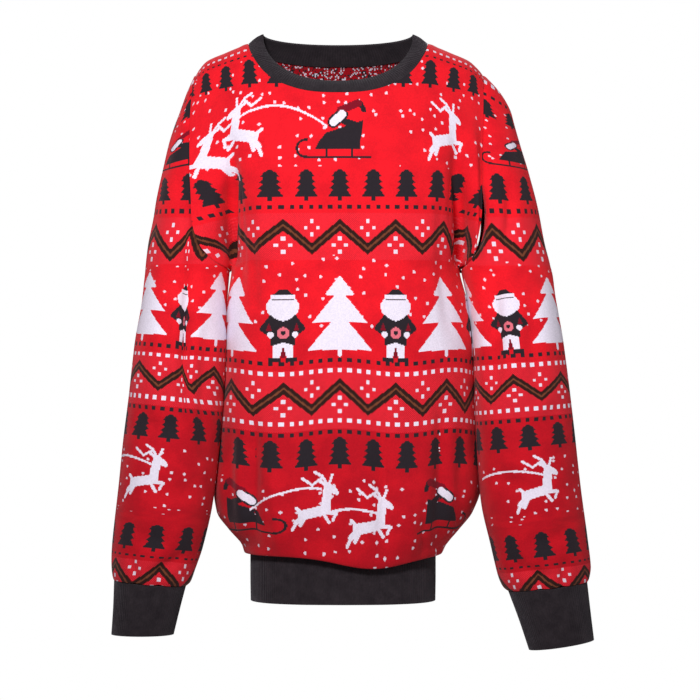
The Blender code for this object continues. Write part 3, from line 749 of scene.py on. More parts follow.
ROW_HEIGHTS = {
    -1: table(
        "step row",
        (60, 20), (99, 59), (118, 90), (125, 100), (165, 165), (175, 173), (208, 207), (213, 210),
        (225, 223), (262, 256), (271.5, 277), (335, 351), (346, 362), (356, 372), (362, 380),
        (391, 415), (398, 421), (408, 432), (413, 437), (440, 468), (445, 475), (505, 545),
        (520, 600), (548, 631), (553, 640), (558, 650), (590, 683),
    ),
    1: table(
        "step row",
        (60, 20), (99, 59), (118, 90), (125, 100), (165, 165), (175, 173), (208, 207), (213, 210),
        (225, 223), (262, 256), (277, 277), (343, 351), (355, 362), (364, 372), (373, 380),
        (401, 415), (408, 421), (418, 432), (423, 437), (448, 468), (455, 475), (515, 545),
        (528, 600), (556, 631), (561, 640), (566, 650), (596, 683),
    ),
}


def sleeve_angles(edge):
    """Angles round the arm from the front edge to the back. Those on the outside stay put."""
    shares = np.linspace(0, 1, SLEEVE_COLUMNS)
    fixed = min(FIXED_ANGLE, 0.9 * edge)
    half = np.where(shares < 0.5, shares / 0.5 * fixed, fixed + (edge - fixed) * (shares - 0.5) / 0.5)
    return np.concatenate([-half[::-1], half[1:]])


# A tuck hides some stitches of every course that it crosses, from one row of the chart to another.
TUCK = "x width first full last gone hidden"
TUCKS = {
    -1: table(TUCK, (-0.1848, 0.0016, 218, 250, 405, 450, 22.0)),
    1: table(TUCK, (0.1620, 0.0016, 150, 180, 205, 240, 9.0)),
}


def tuck(x, row, angles, fold):
    """Stitches that the tuck has hidden by each place of a course, past its line towards the body."""
    held = np.interp(row, [fold.first, fold.full, fold.last, fold.gone], [0, 1, 1, 0])
    past = 1 / (1 + np.exp(-(x * np.sign(fold.x) * -1 + abs(fold.x)) / fold.width))
    inward = np.where(np.asarray(angles) < -60, 1.0, 0.0)
    return -np.sign(fold.x) * fold.hidden * held * past * inward


def sleeve_panel(side):
    """The sleeve's grid, with a row for each course from the cuff up, and its chart places."""
    courses = SLEEVE_ROWS_BELOW[side] + tuple(c for c in COURSES if UNDERARM <= c < SHOULDER)
    base = np.interp(np.linspace(0, len(courses) - 1, SLEEVE_ROWS), np.arange(len(courses)), courses)
    rows = ROW_HEIGHTS[side]
    points, places = [], []
    for cloth in base:
        section = arm_section(side, cloth)
        edge = section[0, 6]
        if cloth > UNDERARM:
            turned = math.radians(edge)
            speed = math.hypot(section[0, 3] * math.sin(turned), section[0, 5] * math.cos(turned))
            under = SEAM_UNDER * min((cloth - UNDERARM) / 0.02, 1.0, max((TOP_CALM - cloth) / 0.02, 0.0))
            edge += min(math.degrees((under - ARMHOLE_GAP) / speed), MOST_UNDER)
        angles = sleeve_angles(edge)
        course = arm_point(np.repeat(section, len(angles), axis=0), angles)
        length = np.concatenate([[0], np.cumsum(np.linalg.norm(np.diff(course, axis=0), axis=1))])
        across = side * (length - np.interp(-90, angles, length))
        front = arm_point(section, -90)[0, 2]
        step = HEIGHT_START - front / HEIGHT_UNIT
        row = np.interp(step, [r.step for r in rows], [r.row for r in rows])
        below = np.clip((-0.25 - cloth) / 0.10, 0, 1)
        drop = UNDERSIDE_DROP * ((1 - np.cos(np.radians(angles))) / 2) ** 2.2 * below
        tucked = sum(tuck(side * course[:, 0], row, angles, fold) for fold in TUCKS[side])
        course[:, 0] *= side
        points.append(course)
        stitches = across / STITCH + side * (SLEEVE_ACROSS - SLEEVE_SHIFT) + tucked
        places.append(np.stack([stitches, row + drop / STITCH], axis=1))
    grid, chart = np.array(points), np.array(places)
    step = grid[1] - grid[0]
    grid[0] += step / np.linalg.norm(step, axis=1, keepdims=True) * CUFF_GAP
    normal = normals_of(grid, flip=side < 0)
    near = edge_distance(grid, 1)
    armhole = np.clip((base - UNDERARM) / 0.02, 0, 1) * np.clip((TOP_CALM - base) / 0.02, 0, 1)
    sunk = SEAM_SINK * armhole[:, None] * np.exp(-((near / SEAM_REACH) ** 2))
    grid = grid - normal * sunk[:, :, None]
    folds = FOLDS[f"sleeve_{SIDE_NAME[side]}"]
    grid = press_folds(grid, normal, folds, -1)
    grid = press_folds(grid, normal, folds, 1, HIDDEN_SLEEVE_SHARE, turned=0.012)
    return grid, chart * np.array([STITCH, -STITCH])


for side in (-1, 1):
    panels[f"sleeve_{SIDE_NAME[side]}"] = sleeve_panel(side)
for name in ("sleeve_right", "sleeve_left"):
    grid, chart = panels[name]
    stitches = chart[:, :, 0] / STITCH
    print(name, grid.shape, "chart across", stitches.min().round(), stitches.max().round())

# %% [markdown]
# ## Arithmetic on the cloth
#
# A jacquard is a picture made of stitches, and every motif of this one can be said in sums: a
# zigzag is a folded ruler, a row of squares is a remainder, a tree is a width that grows with depth.
# In Blender such sums are Math nodes. `Count` writes them in ordinary Python: adding or comparing
# two counts adds the node that does it. Masks are counts of 0 or 1, joined with & and |.

# %% Counts
class Count:
    """A number that changes over the cloth: the output of a node."""

    def __init__(self, tree, socket):
        self.tree, self.socket = tree, socket

    def math(self, operation, *others, clamp=False):
        node = self.tree.nodes.new("ShaderNodeMath")
        node.operation = operation
        node.use_clamp = clamp
        for place, value in zip(node.inputs, (self,) + others):
            if isinstance(value, Count):
                self.tree.links.new(value.socket, place)
            else:
                place.default_value = float(value)
        return Count(self.tree, node.outputs[0])

    def __add__(self, other):
        return self.math("ADD", other)

    def __sub__(self, other):
        return self.math("SUBTRACT", other)

    def __rsub__(self, number):
        return self.math("MULTIPLY_ADD", -1.0, number)

    def __mul__(self, other):
        return self.math("MULTIPLY", other)

    def __lt__(self, other):
        return self.math("LESS_THAN", other)

    def __gt__(self, other):
        return self.math("GREATER_THAN", other)

    def __and__(self, other):
        return self.math("MULTIPLY", other)

    def __or__(self, other):
        return self.math("MAXIMUM", other)

    def __abs__(self):
        return self.math("ABSOLUTE")

    def within(self, low, high):
        """A mask of where the count lies between two numbers."""
        return self.math("COMPARE", (low + high) / 2, (high - low) / 2)

    def repeated(self, period):
        """The count measured from the nearest whole repeat."""
        return self.math("WRAP", period / 2, -period / 2)

    def folded(self, reach):
        """The count run to and fro between 0 and a reach."""
        return self.math("PINGPONG", reach)


def look_up(count, low, high, rows, top, stepped=True):
    """Reads rows of (from, value, value, value) with a colour ramp. Values run from 0 to `top`."""
    tree = count.tree
    ramp = tree.nodes.new("ShaderNodeValToRGB")
    ramp.color_ramp.interpolation = "CONSTANT" if stepped else "LINEAR"
    share = count.math("MULTIPLY_ADD", 1 / (high - low), -low / (high - low))
    tree.links.new(share.socket, ramp.inputs[0])
    stops = ramp.color_ramp.elements
    while len(stops) < len(rows):
        stops.new(1.0)
    for stop, row in zip(stops, rows):
        stop.position = min(max((row[0] - low) / (high - low), 0.0), 1.0)
    for stop, row in zip(stops, rows):
        values = tuple(value / top for value in row[1:]) + (0.0,) * (4 - len(row))
        stop.color = values[:3] + (1.0,)
    split = tree.nodes.new("ShaderNodeSeparateColor")
    tree.links.new(ramp.outputs[0], split.inputs[0])
    return [Count(tree, out) * top for out in split.outputs]


def half_width(depth, rows):
    """Half the width of a shape at a depth, from rows of (depth, half width)."""
    return look_up(depth, rows[0][0], rows[-1][0], rows, 50.0, stepped=False)[0]


def vector_node(tree, operation, *values, scale=None):
    node = tree.nodes.new("ShaderNodeVectorMath")
    node.operation = operation
    for place, value in zip(node.inputs, values):
        if isinstance(value, tuple):
            place.default_value = value
        else:
            tree.links.new(value, place)
    if scale is not None:
        tree.links.new(scale.socket, node.inputs["Scale"])
    return node


def stroke(tree, spot, x0, y0, x1, y1, radius):
    """A mask of the places within a radius of a straight line."""
    step = Vector((x1 - x0, y1 - y0, 0))
    apart = vector_node(tree, "SUBTRACT", spot, (x0, y0, 0.0)).outputs[0]
    if step.length == 0:
        away = Count(tree, vector_node(tree, "LENGTH", apart).outputs["Value"])
        return away < radius
    along = vector_node(tree, "DOT_PRODUCT", apart, tuple(step / step.length_squared))
    share = Count(tree, along.outputs["Value"]).math("ADD", 0.0, clamp=True)
    foot = vector_node(tree, "SCALE", tuple(step), scale=share)
    away = vector_node(tree, "DISTANCE", apart, foot.outputs[0]).outputs["Value"]
    return Count(tree, away) < radius


def strokes(tree, spot, rows):
    """One mask for a table of strokes."""
    whole = None
    for row in rows:
        mask = stroke(tree, spot, *row)
        whole = mask if whole is None else whole | mask
    return whole


def new_group(name, inputs, outputs):
    """An empty node group with its sockets."""
    group = bpy.data.node_groups.new(name, "ShaderNodeTree")
    for kind, sockets in (("INPUT", inputs), ("OUTPUT", outputs)):
        for label, socket_type in sockets.items():
            group.interface.new_socket(name=label, in_out=kind, socket_type=f"NodeSocket{socket_type}")
    return group, group.nodes.new("NodeGroupInput"), group.nodes.new("NodeGroupOutput")


def split_place(tree, socket):
    """A place's two counts, across and down."""
    node = tree.nodes.new("ShaderNodeSeparateXYZ")
    tree.links.new(socket, node.inputs[0])
    return Count(tree, node.outputs[0]), Count(tree, node.outputs[1])


print("counting tools ready")

# %% [markdown]
# ## The reindeer
#
# Each motif is charted once, as a node group that is given a place measured from the motif's own
# middle, in stitches across and courses down. A leaping reindeer is a handful of strokes of the
# pen: two thick ones for body and neck, thin ones for legs and antlers. Strokes are quicker to
# chart than a grid of squares, and the stitches square them off all the same.

# %% Reindeer chart
STROKE = "x0 y0 x1 y1 radius"
REINDEER = table(
    STROKE,
    (0.0, -24.0, 8.0, -18.0, 3.4),      # head
    (7.0, -18.5, 10.0, -16.5, 2.4),     # muzzle
    (-3.0, -26.0, -8.0, -29.5, 1.6),    # ear
    (-1.0, -27.0, -4.5, -33.0, 1.4),    # antlers
    (-4.5, -33.0, -12.0, -38.0, 1.3),
    (-4.0, -32.0, -14.0, -25.5, 1.3),
    (-14.0, -25.5, -24.0, -33.0, 1.3),
    (3.0, -27.0, 5.5, -34.0, 1.3),
    (1.0, -19.0, -1.0, -3.0, 4.6),      # neck
    (-1.0, 1.0, -23.0, 6.0, 5.4),       # body
    (-25.0, 3.0, -29.5, -1.5, 1.8),     # tail
    (-23.0, 8.0, -30.0, 16.0, 2.8),     # hind legs
    (-30.0, 16.0, -34.0, 25.0, 1.5),
    (-21.0, 9.0, -26.0, 19.0, 2.0),
    (0.0, 4.0, 9.0, 4.5, 2.0),          # front legs
    (9.0, 4.5, 6.0, 11.5, 1.5),
    (-3.0, 6.0, 2.0, 14.0, 1.7),
)

reindeer, entry, result = new_group("chart_reindeer", {"Place": "Vector"}, {"White": "Float"})
mask = strokes(reindeer, entry.outputs["Place"], REINDEER)
reindeer.links.new(mask.socket, result.inputs["White"])
print("reindeer:", len(reindeer.nodes), "nodes")

# %% [markdown]
# ## The sleigh
#
# The sleigh is a dark silhouette on a runner whose front curls up. A bearded rider in a red cap
# looks over its side. The body is cut by four straight lines, and the curl is what lies between
# two circles.

# %% Sleigh chart
SLEIGH_FRAME = table(
    STROKE,
    (-28.0, 0.0, 35.0, 0.0, 1.3),
    (-8.0, -8.0, -8.0, 0.0, 1.3),
    (17.0, -8.0, 17.0, 0.0, 1.3),
    (6.0, -36.0, 20.0, -31.0, 3.4),
    (-4.0, -35.0, 5.0, -43.0, 6.0),
    (24.0, -54.0, 27.0, -47.0, 2.5),
)
SLEIGH_BEARD = table(STROKE, (-4.0, -35.0, 5.0, -43.0, 4.0))
SLEIGH_CAP = table(STROKE, (4.0, -47.0, 22.0, -54.0, 3.6))

sleigh, entry, result = new_group(
    "chart_sleigh", {"Place": "Vector"}, {"Black": "Float", "White": "Float", "Dark Red": "Float"}
)
place = entry.outputs["Place"]
x, y = split_place(sleigh, place)
hull = (y < -8.0) & (x < 25.0)
hull = hull & (x + y * 0.53 > -23.8)
hull = hull & (y + x * 0.36 > -28.0)
curl_at = vector_node(sleigh, "DISTANCE", place, (-29.0, -9.0, 0.0)).outputs["Value"]
curl = Count(sleigh, curl_at).within(7.2, 9.8) & (x < -27.0)
black = strokes(sleigh, place, SLEIGH_FRAME) | hull | curl
white = strokes(sleigh, place, SLEIGH_BEARD)
cap = strokes(sleigh, place, SLEIGH_CAP)
for mask, label in ((black, "Black"), (white, "White"), (cap, "Dark Red")):
    sleigh.links.new(mask.socket, result.inputs[label])
print("sleigh:", len(sleigh.nodes), "nodes")

# %% [markdown]
# ## The little old man
#
# Between the big trees stands a small bearded man with his hands on his belt: the plainest of
# winter figures, with a white round of hair and beard and no face. He is symmetric, so he is
# charted by his half-width at each depth, once for what is dark and once for what is white.

# %% Figure chart
FIGURE_DARK = (
    (0.0, 0.0), (0.1, 2.5), (5.0, 8.5), (5.3, 0.0), (20.5, 0.0), (21.0, 10.0), (26.0, 13.0),
    (34.0, 19.5), (36.0, 19.0), (41.0, 12.0), (42.0, 9.8), (49.0, 9.8), (49.3, 0.0), (60.0, 0.0),
    (60.3, 11.5), (64.0, 11.5), (64.3, 0.0), (66.0, 0.0),
)
FIGURE_WHITE = (
    (0.0, 0.0), (4.8, 0.0), (5.0, 9.8), (9.0, 10.5), (12.0, 13.2), (16.0, 14.0), (20.0, 12.8),
    (23.0, 9.5), (25.0, 7.0), (28.0, 0.0), (46.0, 0.0), (48.5, 6.5), (49.0, 8.6), (60.0, 8.6),
    (60.3, 0.0), (66.0, 0.0),
)

figure, entry, result = new_group(
    "chart_figure",
    {"Place": "Vector"},
    {"Black": "Float", "White": "Float", "Dark Red": "Float", "Pink": "Float", "Trim": "Float"},
)
x, y = split_place(figure, entry.outputs["Place"])
x = abs(x)
black = x < half_width(y, FIGURE_DARK)
legs_apart = x > (y - 49.0) * 0.26
black = black & ((y < 59.0) | (x > 2.0))
white = (x < half_width(y, FIGURE_WHITE)) & (legs_apart | (y < 46.0))
side_place = figure.nodes.new("ShaderNodeCombineXYZ")
figure.links.new(x.socket, side_place.inputs[0])
figure.links.new(y.socket, side_place.inputs[1])
white = white | stroke(figure, side_place.outputs[0], 10.0, 39.5, 10.0, 39.5, 2.8)
belt = stroke(figure, side_place.outputs[0], 0.0, 38.0, 0.0, 38.0, 5.0)
buckle = stroke(figure, side_place.outputs[0], 0.0, 38.0, 0.0, 38.0, 1.9)
pink = belt & (1.0 - buckle)
cuffs = abs(x - 11.5) < (y - 30.0) * 0.45
dark_red = cuffs & y.within(30.0, 36.5)
dark_red = dark_red | (x.within(0.0, 1.6) & y.within(50.5, 60.0))
trim = y.within(8.4, 9.8) & (x < 9.2)
for mask, label in (
    (black, "Black"), (white, "White"), (dark_red, "Dark Red"), (pink, "Pink"), (trim, "Trim")
):
    figure.links.new(mask.socket, result.inputs[label])
print("figure:", len(figure.nodes), "nodes")

# %% [markdown]
# ## The whole chart
#
# The chart is read from the neck down: dark dashes and white squares, a row of pines, a snowy scene
# with reindeer and sleigh, pines again, a zigzag, the big trees with the little men between them,
# a second zigzag between rows of squares, more pines, and a second snowy scene. Sleeves go on for
# three bands more. Repeating motifs are folded remainders. The reindeer and sleighs have
# placements of their own, looked up by how far round the garment the stitch is.

# %% Bands of the chart
DASH_PERIOD = WHOLE_CHART / 350
DASHES = (
    # from course, middle course, half height, whiteness
    (0, 41, 2.4, 1), (48, 53.5, 1.8, 0), (100, 210, 1.8, 0), (300, 362, 2.2, 0),
    (366.5, 372, 2.4, 1), (395, 421, 2.4, 1), (427, 432, 2.2, 0), (500, 640, 2.2, 0),
)
DASH_HALF = 2.2
PINE_PERIOD = 33.0
PINE_TOPS = ((0, 59), (120, 173), (300, 437), (500, 600))
PINE = (
    (0, 0.0), (0.2, 1.6), (3, 5.5), (7, 7.8), (8, 5.2), (13, 9.0), (14, 5.8), (19, 10.2), (20, 6.8),
    (26.5, 11.8), (27.2, 2.2), (31, 2.2), (31.4, 0), (33, 0.0),
)
ZIGZAG_MIDDLES = ((0, 239.5), (320, 397.5), (500, 666.5))
ZIGZAG_HALF_PERIOD = 27.5
ZIGZAG_HEIGHT = 23.4
ZIGZAG_SLANT = 0.76      # cosine of its slope, which turns a height into a thickness
ZIGZAG_HALF = 4.4
ZIGZAG_CORE = 0.9
TREE_PERIOD = 110.0
TREE_TOP = 276.9
TREE = (
    (0, 0.0), (19.6, 14.9), (20.0, 5.2), (46.9, 26.9), (47.3, 8.4), (74.4, 32.2), (74.8, 1.9),
    (81.6, 1.9), (81.9, 0.0), (84, 0.0),
)
FIGURE_TOP = 290.5
FIGURE_SIZE = 1.09
print("bands of dashes:", len(DASHES), "and rows in a tree:", len(TREE))

# %% [markdown]
# ## Where the reindeer and sleighs go
#
# Reindeer, sleighs and reins don't repeat evenly on the real chart, so each has a place, in stitches
# across and courses down. A short table holds them, because it can be read against the garment.

# %% Placements in the snowy scenes
HALF_CHART = WHOLE_CHART / 2
PLACED = "start across down facing_left"
LEAD_REINDEER = {
    "top": table(PLACED, (-HALF_CHART, -107, 134, 1), (0, 123, 138, 0)),
    "low": table(PLACED, (-HALF_CHART, -736, 512, 0), (-400, 41, 520, 0), (400, 741, 512, 0)),
}
SECOND_REINDEER = {
    "top": table(PLACED, (-HALF_CHART, -133, 155, 1), (0, 1500, 155, 1)),
    "low": table(PLACED, (-HALF_CHART, -13, 508, 0), (400, 1500, 508, 0)),
}
SLEIGHS = {
    "top": table(PLACED, (-HALF_CHART, -742, 165, 0), (-400, -5, 161, 0), (400, 750, 165, 0)),
    "low": table(PLACED, (-HALF_CHART, -90, 536, 1), (10, 113, 534, 1)),
}
REINS = table(
    "across down bend start end",
    (-68.0, 109.0, 0.0078, -104.0, -15.0),
    (-35.0, 485.0, 0.0093, -88.0, -18.0),
    (16.0, 507.0, 0.0060, -8.0, 39.0),
    (700.0, 489.0, 0.0052, 664.0, 742.0),
    (-775.0, 489.0, 0.0060, -805.0, -738.0),
)
REIN_HALF = 1.25
SCENE_SPLIT = 300
SNOW_SPACING = 13.0
SNOW = ((0, 0), (60, 1), (168, 0), (257, 1), (330, 0), (475, 1), (566, 0))
STIPPLE = ((0, 0), (214, 1), (262, 0), (367, 1), (428, 0), (646, 1), (690, 0))

YARN = {
    "red": (0.820, 0.0080, 0.0180, 1.0),
    # deep_red is the heather's darker red, the wrong side's ground and the painted shade of the lower
    # courses
    "deep_red": (0.470, 0.0040, 0.0130, 1.0),
    "pink_red": (0.780, 0.0240, 0.0420, 1.0),
    "white": (0.800, 0.730, 0.860, 1.0),
    "black": (0.0200, 0.0150, 0.0200, 1.0),
    "zigzag": (0.0260, 0.0090, 0.0070, 1.0),
    "zigzag_core": (0.170, 0.0480, 0.0220, 1.0),
    "dark_red": (0.200, 0.0040, 0.0150, 1.0),
    "pink": (0.720, 0.150, 0.200, 1.0),
    "shadow": (0.0500, 0.0200, 0.0240, 1.0),
}


def place_of(tree, across, down, placed):
    """The stitch's place measured from the nearest placed motif, turned to face its way."""
    found = {}
    for scene, rows in placed.items():
        rows = [(r.start, r.across + HALF_CHART, r.down, r.facing_left * 1000.0) for r in rows]
        found[scene] = look_up(across, -HALF_CHART, HALF_CHART, rows, WHOLE_CHART)
    low = down > SCENE_SPLIT
    chosen = [a + (b - a) * low for a, b in zip(found["top"], found["low"])]
    facing = chosen[2].math("MULTIPLY_ADD", -0.002, 1.0)
    x = (across - chosen[0] + HALF_CHART) * facing
    y = down - chosen[1]
    join = tree.nodes.new("ShaderNodeCombineXYZ")
    tree.links.new(x.socket, join.inputs[0])
    tree.links.new(y.socket, join.inputs[1])
    return join.outputs[0]


def use_group(tree, group, **links):
    """Places a group in a tree, with its inputs joined."""
    node = tree.nodes.new("ShaderNodeGroup")
    node.node_tree = group
    for label, value in links.items():
        socket = node.inputs[label.replace("_", " ")]
        if hasattr(value, "links"):
            tree.links.new(value, socket)
        else:
            socket.default_value = value
    return node


def paint(tree, under, over, mask):
    """Lays one yarn over another where the mask says."""
    node = tree.nodes.new("ShaderNodeMix")
    node.data_type = "RGBA"
    tree.links.new(mask.socket, node.inputs[0])
    for socket, colour in ((node.inputs[6], under), (node.inputs[7], over)):
        if isinstance(colour, tuple):
            socket.default_value = colour
        else:
            tree.links.new(colour, socket)
    return node.outputs[2]


print("bands and placements are listed")

# %% [markdown]
# ## Stitches
#
# Stocking stitch shows columns of little Vs. So that the motifs have knitted edges, each place is
# first rounded to its stitch, and the rounding is done along the V. The same sums give the relief:
# two rounded legs with a groove between the columns.

# %% Stitch group
stitches, entry, result = new_group(
    "knitted_stitches",
    {"Chart": "Vector", "Size": "Float"},
    {"Stitch": "Vector", "Relief": "Float", "Heather": "Float"},
)
size = Count(stitches, entry.outputs["Size"])
x, y = split_place(stitches, entry.outputs["Chart"])
x = x.math("DIVIDE", size)
y = y.math("DIVIDE", size) * -1.0
column = x.math("FLOOR")
leg = abs((x - column) * 2.0 - 1.0)
climbed = y + leg * 0.5
course = climbed.math("FLOOR")
stitch = stitches.nodes.new("ShaderNodeCombineXYZ")
stitches.links.new((column + 0.5).socket, stitch.inputs[0])
stitches.links.new((course + 0.5).socket, stitch.inputs[1])
stitches.links.new(stitch.outputs[0], result.inputs["Stitch"])
across_leg = (leg * math.pi).math("SINE")
along_leg = ((climbed - course) * math.pi).math("SINE")
stitches.links.new((across_leg * 0.75 + along_leg * 0.25).socket, result.inputs["Relief"])
speck = stitches.nodes.new("ShaderNodeTexWhiteNoise")
speck.noise_dimensions = "2D"
stitches.links.new(stitch.outputs[0], speck.inputs["Vector"])
stitches.links.new(speck.outputs["Value"], result.inputs["Heather"])
print("stitches:", len(stitches.nodes), "nodes")

# %% [markdown]
# ## The jacquard
#
# Jacquard knitting takes one colour of yarn from several at each stitch, by the chart. The node group
# does the same: it asks each motif in turn whether it covers the stitch, and mixes in its colour. One
# group serves all four patterned panels, which share one chart.

# %% Jacquard group
jacquard, entry, result = new_group("winter_jacquard", {"Stitch": "Vector"}, {"Color": "Color"})
spot = entry.outputs["Stitch"]
raw_across, down = split_place(jacquard, spot)
across = raw_across.repeated(float(WHOLE_CHART))

# The ground is heathered, darkened towards the lower courses with painted shade, and stippled with paler
# stitches beside the zigzags.
cloud = jacquard.nodes.new("ShaderNodeTexNoise")
cloud.inputs["Scale"].default_value = 0.035
cloud.inputs["Detail"].default_value = 3.0
jacquard.links.new(spot, cloud.inputs["Vector"])
shade = Count(jacquard, cloud.outputs["Fac"])
# painted shade: below course 310 the red ground turns steadily to deep red, darker towards the bottom
lower = down.math("MULTIPLY_ADD", 1 / 110, -310 / 110, clamp=True) * 0.75
heather_and_painted_shade = (shade.math("MULTIPLY_ADD", 1.5, -0.6, clamp=True) + lower).math("MINIMUM", 1.0)
ground = paint(jacquard, YARN["red"], YARN["deep_red"], heather_and_painted_shade)
stipple = look_up(down, 0, 700, STIPPLE, 1)[0]
checker = (raw_across + down).math("WRAP", 2.0, 0.0) > 0.9
ground = paint(jacquard, ground, YARN["pink_red"], stipple & checker)

# Snow falls in the two scenes and above the trees.
flakes = jacquard.nodes.new("ShaderNodeTexVoronoi")
flakes.voronoi_dimensions = "2D"
flakes.inputs["Scale"].default_value = 1 / SNOW_SPACING
flakes.inputs["Randomness"].default_value = 0.85
jacquard.links.new(spot, flakes.inputs["Vector"])
chance = jacquard.nodes.new("ShaderNodeSeparateColor")
jacquard.links.new(flakes.outputs["Color"], chance.inputs[0])
snow = (Count(jacquard, flakes.outputs["Distance"]) < 1.55 / SNOW_SPACING) & (
    Count(jacquard, chance.outputs[0]) > 0.42
)
snow = snow & look_up(down, 0, 700, SNOW, 1)[0]
colour = paint(jacquard, ground, YARN["white"], snow * 0.85)

# Dashes and squares.
middle, half, whiteness = look_up(down, 0, 700, DASHES, 700)
dash = (abs(across.repeated(DASH_PERIOD)) < DASH_HALF) & (abs(down - middle).math("LESS_THAN", half))
colour = paint(jacquard, colour, YARN["white"], dash & whiteness)
black = dash & (1.0 - whiteness)

# Pines.
depth = down - look_up(down, 0, 700, PINE_TOPS, 700)[0]
pine = abs(across.repeated(PINE_PERIOD)).math("LESS_THAN", half_width(depth, PINE))
black = black | (pine & (depth > 0.0))

# Zigzags, with four white dots in each of their corners.
middle = look_up(down, 0, 700, ZIGZAG_MIDDLES, 700)[0]
under = down - middle
run = across.folded(ZIGZAG_HALF_PERIOD)
line = run.math("MULTIPLY_ADD", ZIGZAG_HEIGHT / ZIGZAG_HALF_PERIOD, -ZIGZAG_HEIGHT / 2)
apart = abs(under - line) * ZIGZAG_SLANT
zigzag = apart < ZIGZAG_HALF
core = apart < ZIGZAG_CORE
above = under < -0.5
from_corner = run + (run * -2.0 + ZIGZAG_HALF_PERIOD) * above
out = abs(abs(under + 0.5) - 8.5)
dots = ((from_corner < 1.7) & (abs(out - 6.5) < 1.7)) | ((abs(from_corner - 6.0) < 1.7) & (out < 1.7))
colour = paint(jacquard, colour, YARN["white"], dots * 0.9)
colour = paint(jacquard, colour, YARN["zigzag"], zigzag)
colour = paint(jacquard, colour, YARN["zigzag_core"], core)

# Big trees, and the little men half way between them.
depth = (down - TREE_TOP)
tree_mask = abs(across.repeated(TREE_PERIOD)).math("LESS_THAN", half_width(depth, TREE)) & (depth > 0.0)
man_place = jacquard.nodes.new("ShaderNodeCombineXYZ")
man_across = (across + TREE_PERIOD / 2).repeated(TREE_PERIOD) * (1 / FIGURE_SIZE)
man_down = (down - FIGURE_TOP) * (1 / FIGURE_SIZE)
jacquard.links.new(man_across.socket, man_place.inputs[0])
jacquard.links.new(man_down.socket, man_place.inputs[1])
man = use_group(jacquard, figure, Place=man_place.outputs[0])
row = man_down.within(0.0, 65.0)
black = black | (Count(jacquard, man.outputs["Black"]) & row)
white = tree_mask | (Count(jacquard, man.outputs["White"]) & row)

# Scenes.
lead = use_group(jacquard, reindeer, Place=place_of(jacquard, across, down, LEAD_REINDEER))
second = use_group(jacquard, reindeer, Place=place_of(jacquard, across, down, SECOND_REINDEER))
white = white | Count(jacquard, lead.outputs["White"]) | Count(jacquard, second.outputs["White"])
for rein in REINS:
    aside = across - rein.across
    bow = (aside * aside).math("MULTIPLY_ADD", rein.bend, rein.down)
    white = white | ((abs(down - bow) < REIN_HALF) & across.within(rein.start, rein.end))
cart = use_group(jacquard, sleigh, Place=place_of(jacquard, across, down, SLEIGHS))
black = black | Count(jacquard, cart.outputs["Black"])
white_cart = Count(jacquard, cart.outputs["White"])

for yarn, mask in (
    ("black", black),
    (
        "dark_red",
        Count(jacquard, cart.outputs["Dark Red"])
        | (Count(jacquard, man.outputs["Dark Red"]) & row),
    ),
    ("white", white | white_cart),
    ("pink", Count(jacquard, man.outputs["Pink"]) & row),
    ("shadow", Count(jacquard, man.outputs["Trim"]) & row),
):
    colour = paint(jacquard, colour, YARN[yarn], mask)
jacquard.links.new(colour, result.inputs["Color"])
print("jacquard:", len(jacquard.nodes), "nodes")

# %% [markdown]
# ## Finishes
#
# The yarn is a soft matt acrylic and wool, so every finish is rough with a little sheen. The
# jersey's right side shows the chart. Its wrong side shows the same yarns as a speckle, because a
# jacquard knits the unused colours into its back. The charcoal rib takes its ribs from its shape
# and only its stitches from the material.

# %% Materials
STITCH_RELIEF = 0.00022


def knit_material(name, size, sheen, roughness, tint):
    """A rough yarn finish with stitches read from the piece's chart map."""
    material = bpy.data.materials.new(name)
    material.use_nodes = True
    tree = material.node_tree
    shader = tree.nodes["Principled BSDF"]
    shader.inputs["Roughness"].default_value = roughness
    shader.inputs["Sheen Weight"].default_value = sheen
    shader.inputs["Sheen Roughness"].default_value = 0.45
    shader.inputs["Sheen Tint"].default_value = tint
    shader.inputs["Specular IOR Level"].default_value = 0.12
    chart = tree.nodes.new("ShaderNodeUVMap")
    chart.uv_map = "chart"
    knit = use_group(tree, stitches, Chart=chart.outputs[0], Size=size)
    bump = tree.nodes.new("ShaderNodeBump")
    bump.inputs["Strength"].default_value = 0.7
    bump.inputs["Distance"].default_value = STITCH_RELIEF
    tree.links.new(knit.outputs["Relief"], bump.inputs["Height"])
    tree.links.new(bump.outputs[0], shader.inputs["Normal"])
    return material, tree, shader, knit


def shaded(tree, colour, knit, low, spread):
    """Paints shade into the grooves between stitches, and makes each stitch's tone a little its own."""
    # painted shade: where the relief is low, between the legs and the columns, the colour is darkened down
    # to `low`
    light = Count(tree, knit.outputs["Relief"]).math("MULTIPLY_ADD", 1 - low, low)
    light = light * Count(tree, knit.outputs["Heather"]).math("MULTIPLY_ADD", spread, 1 - spread / 2)
    return vector_node(tree, "SCALE", colour, scale=light).outputs[0]


jersey, tree, shader, knit = knit_material("patterned_jersey", STITCH, 0.08, 0.86, (1.0, 0.6, 0.65, 1))
motif = use_group(tree, jacquard, Stitch=knit.outputs["Stitch"])
colour = shaded(tree, motif.outputs["Color"], knit, 0.84, 0.14)
tree.links.new(colour, shader.inputs["Base Color"])

wrong_side, tree, shader, knit = knit_material(
    "jersey_wrong_side", STITCH * 1.4, 0.08, 0.9, (1.0, 0.6, 0.65, 1)
)
pick = Count(tree, knit.outputs["Heather"])
colour = paint(tree, YARN["deep_red"], YARN["black"], pick > 0.62)
colour = paint(tree, colour, YARN["white"], pick > 0.87)
tree.links.new(shaded(tree, colour, knit, 0.75, 0.1), shader.inputs["Base Color"])

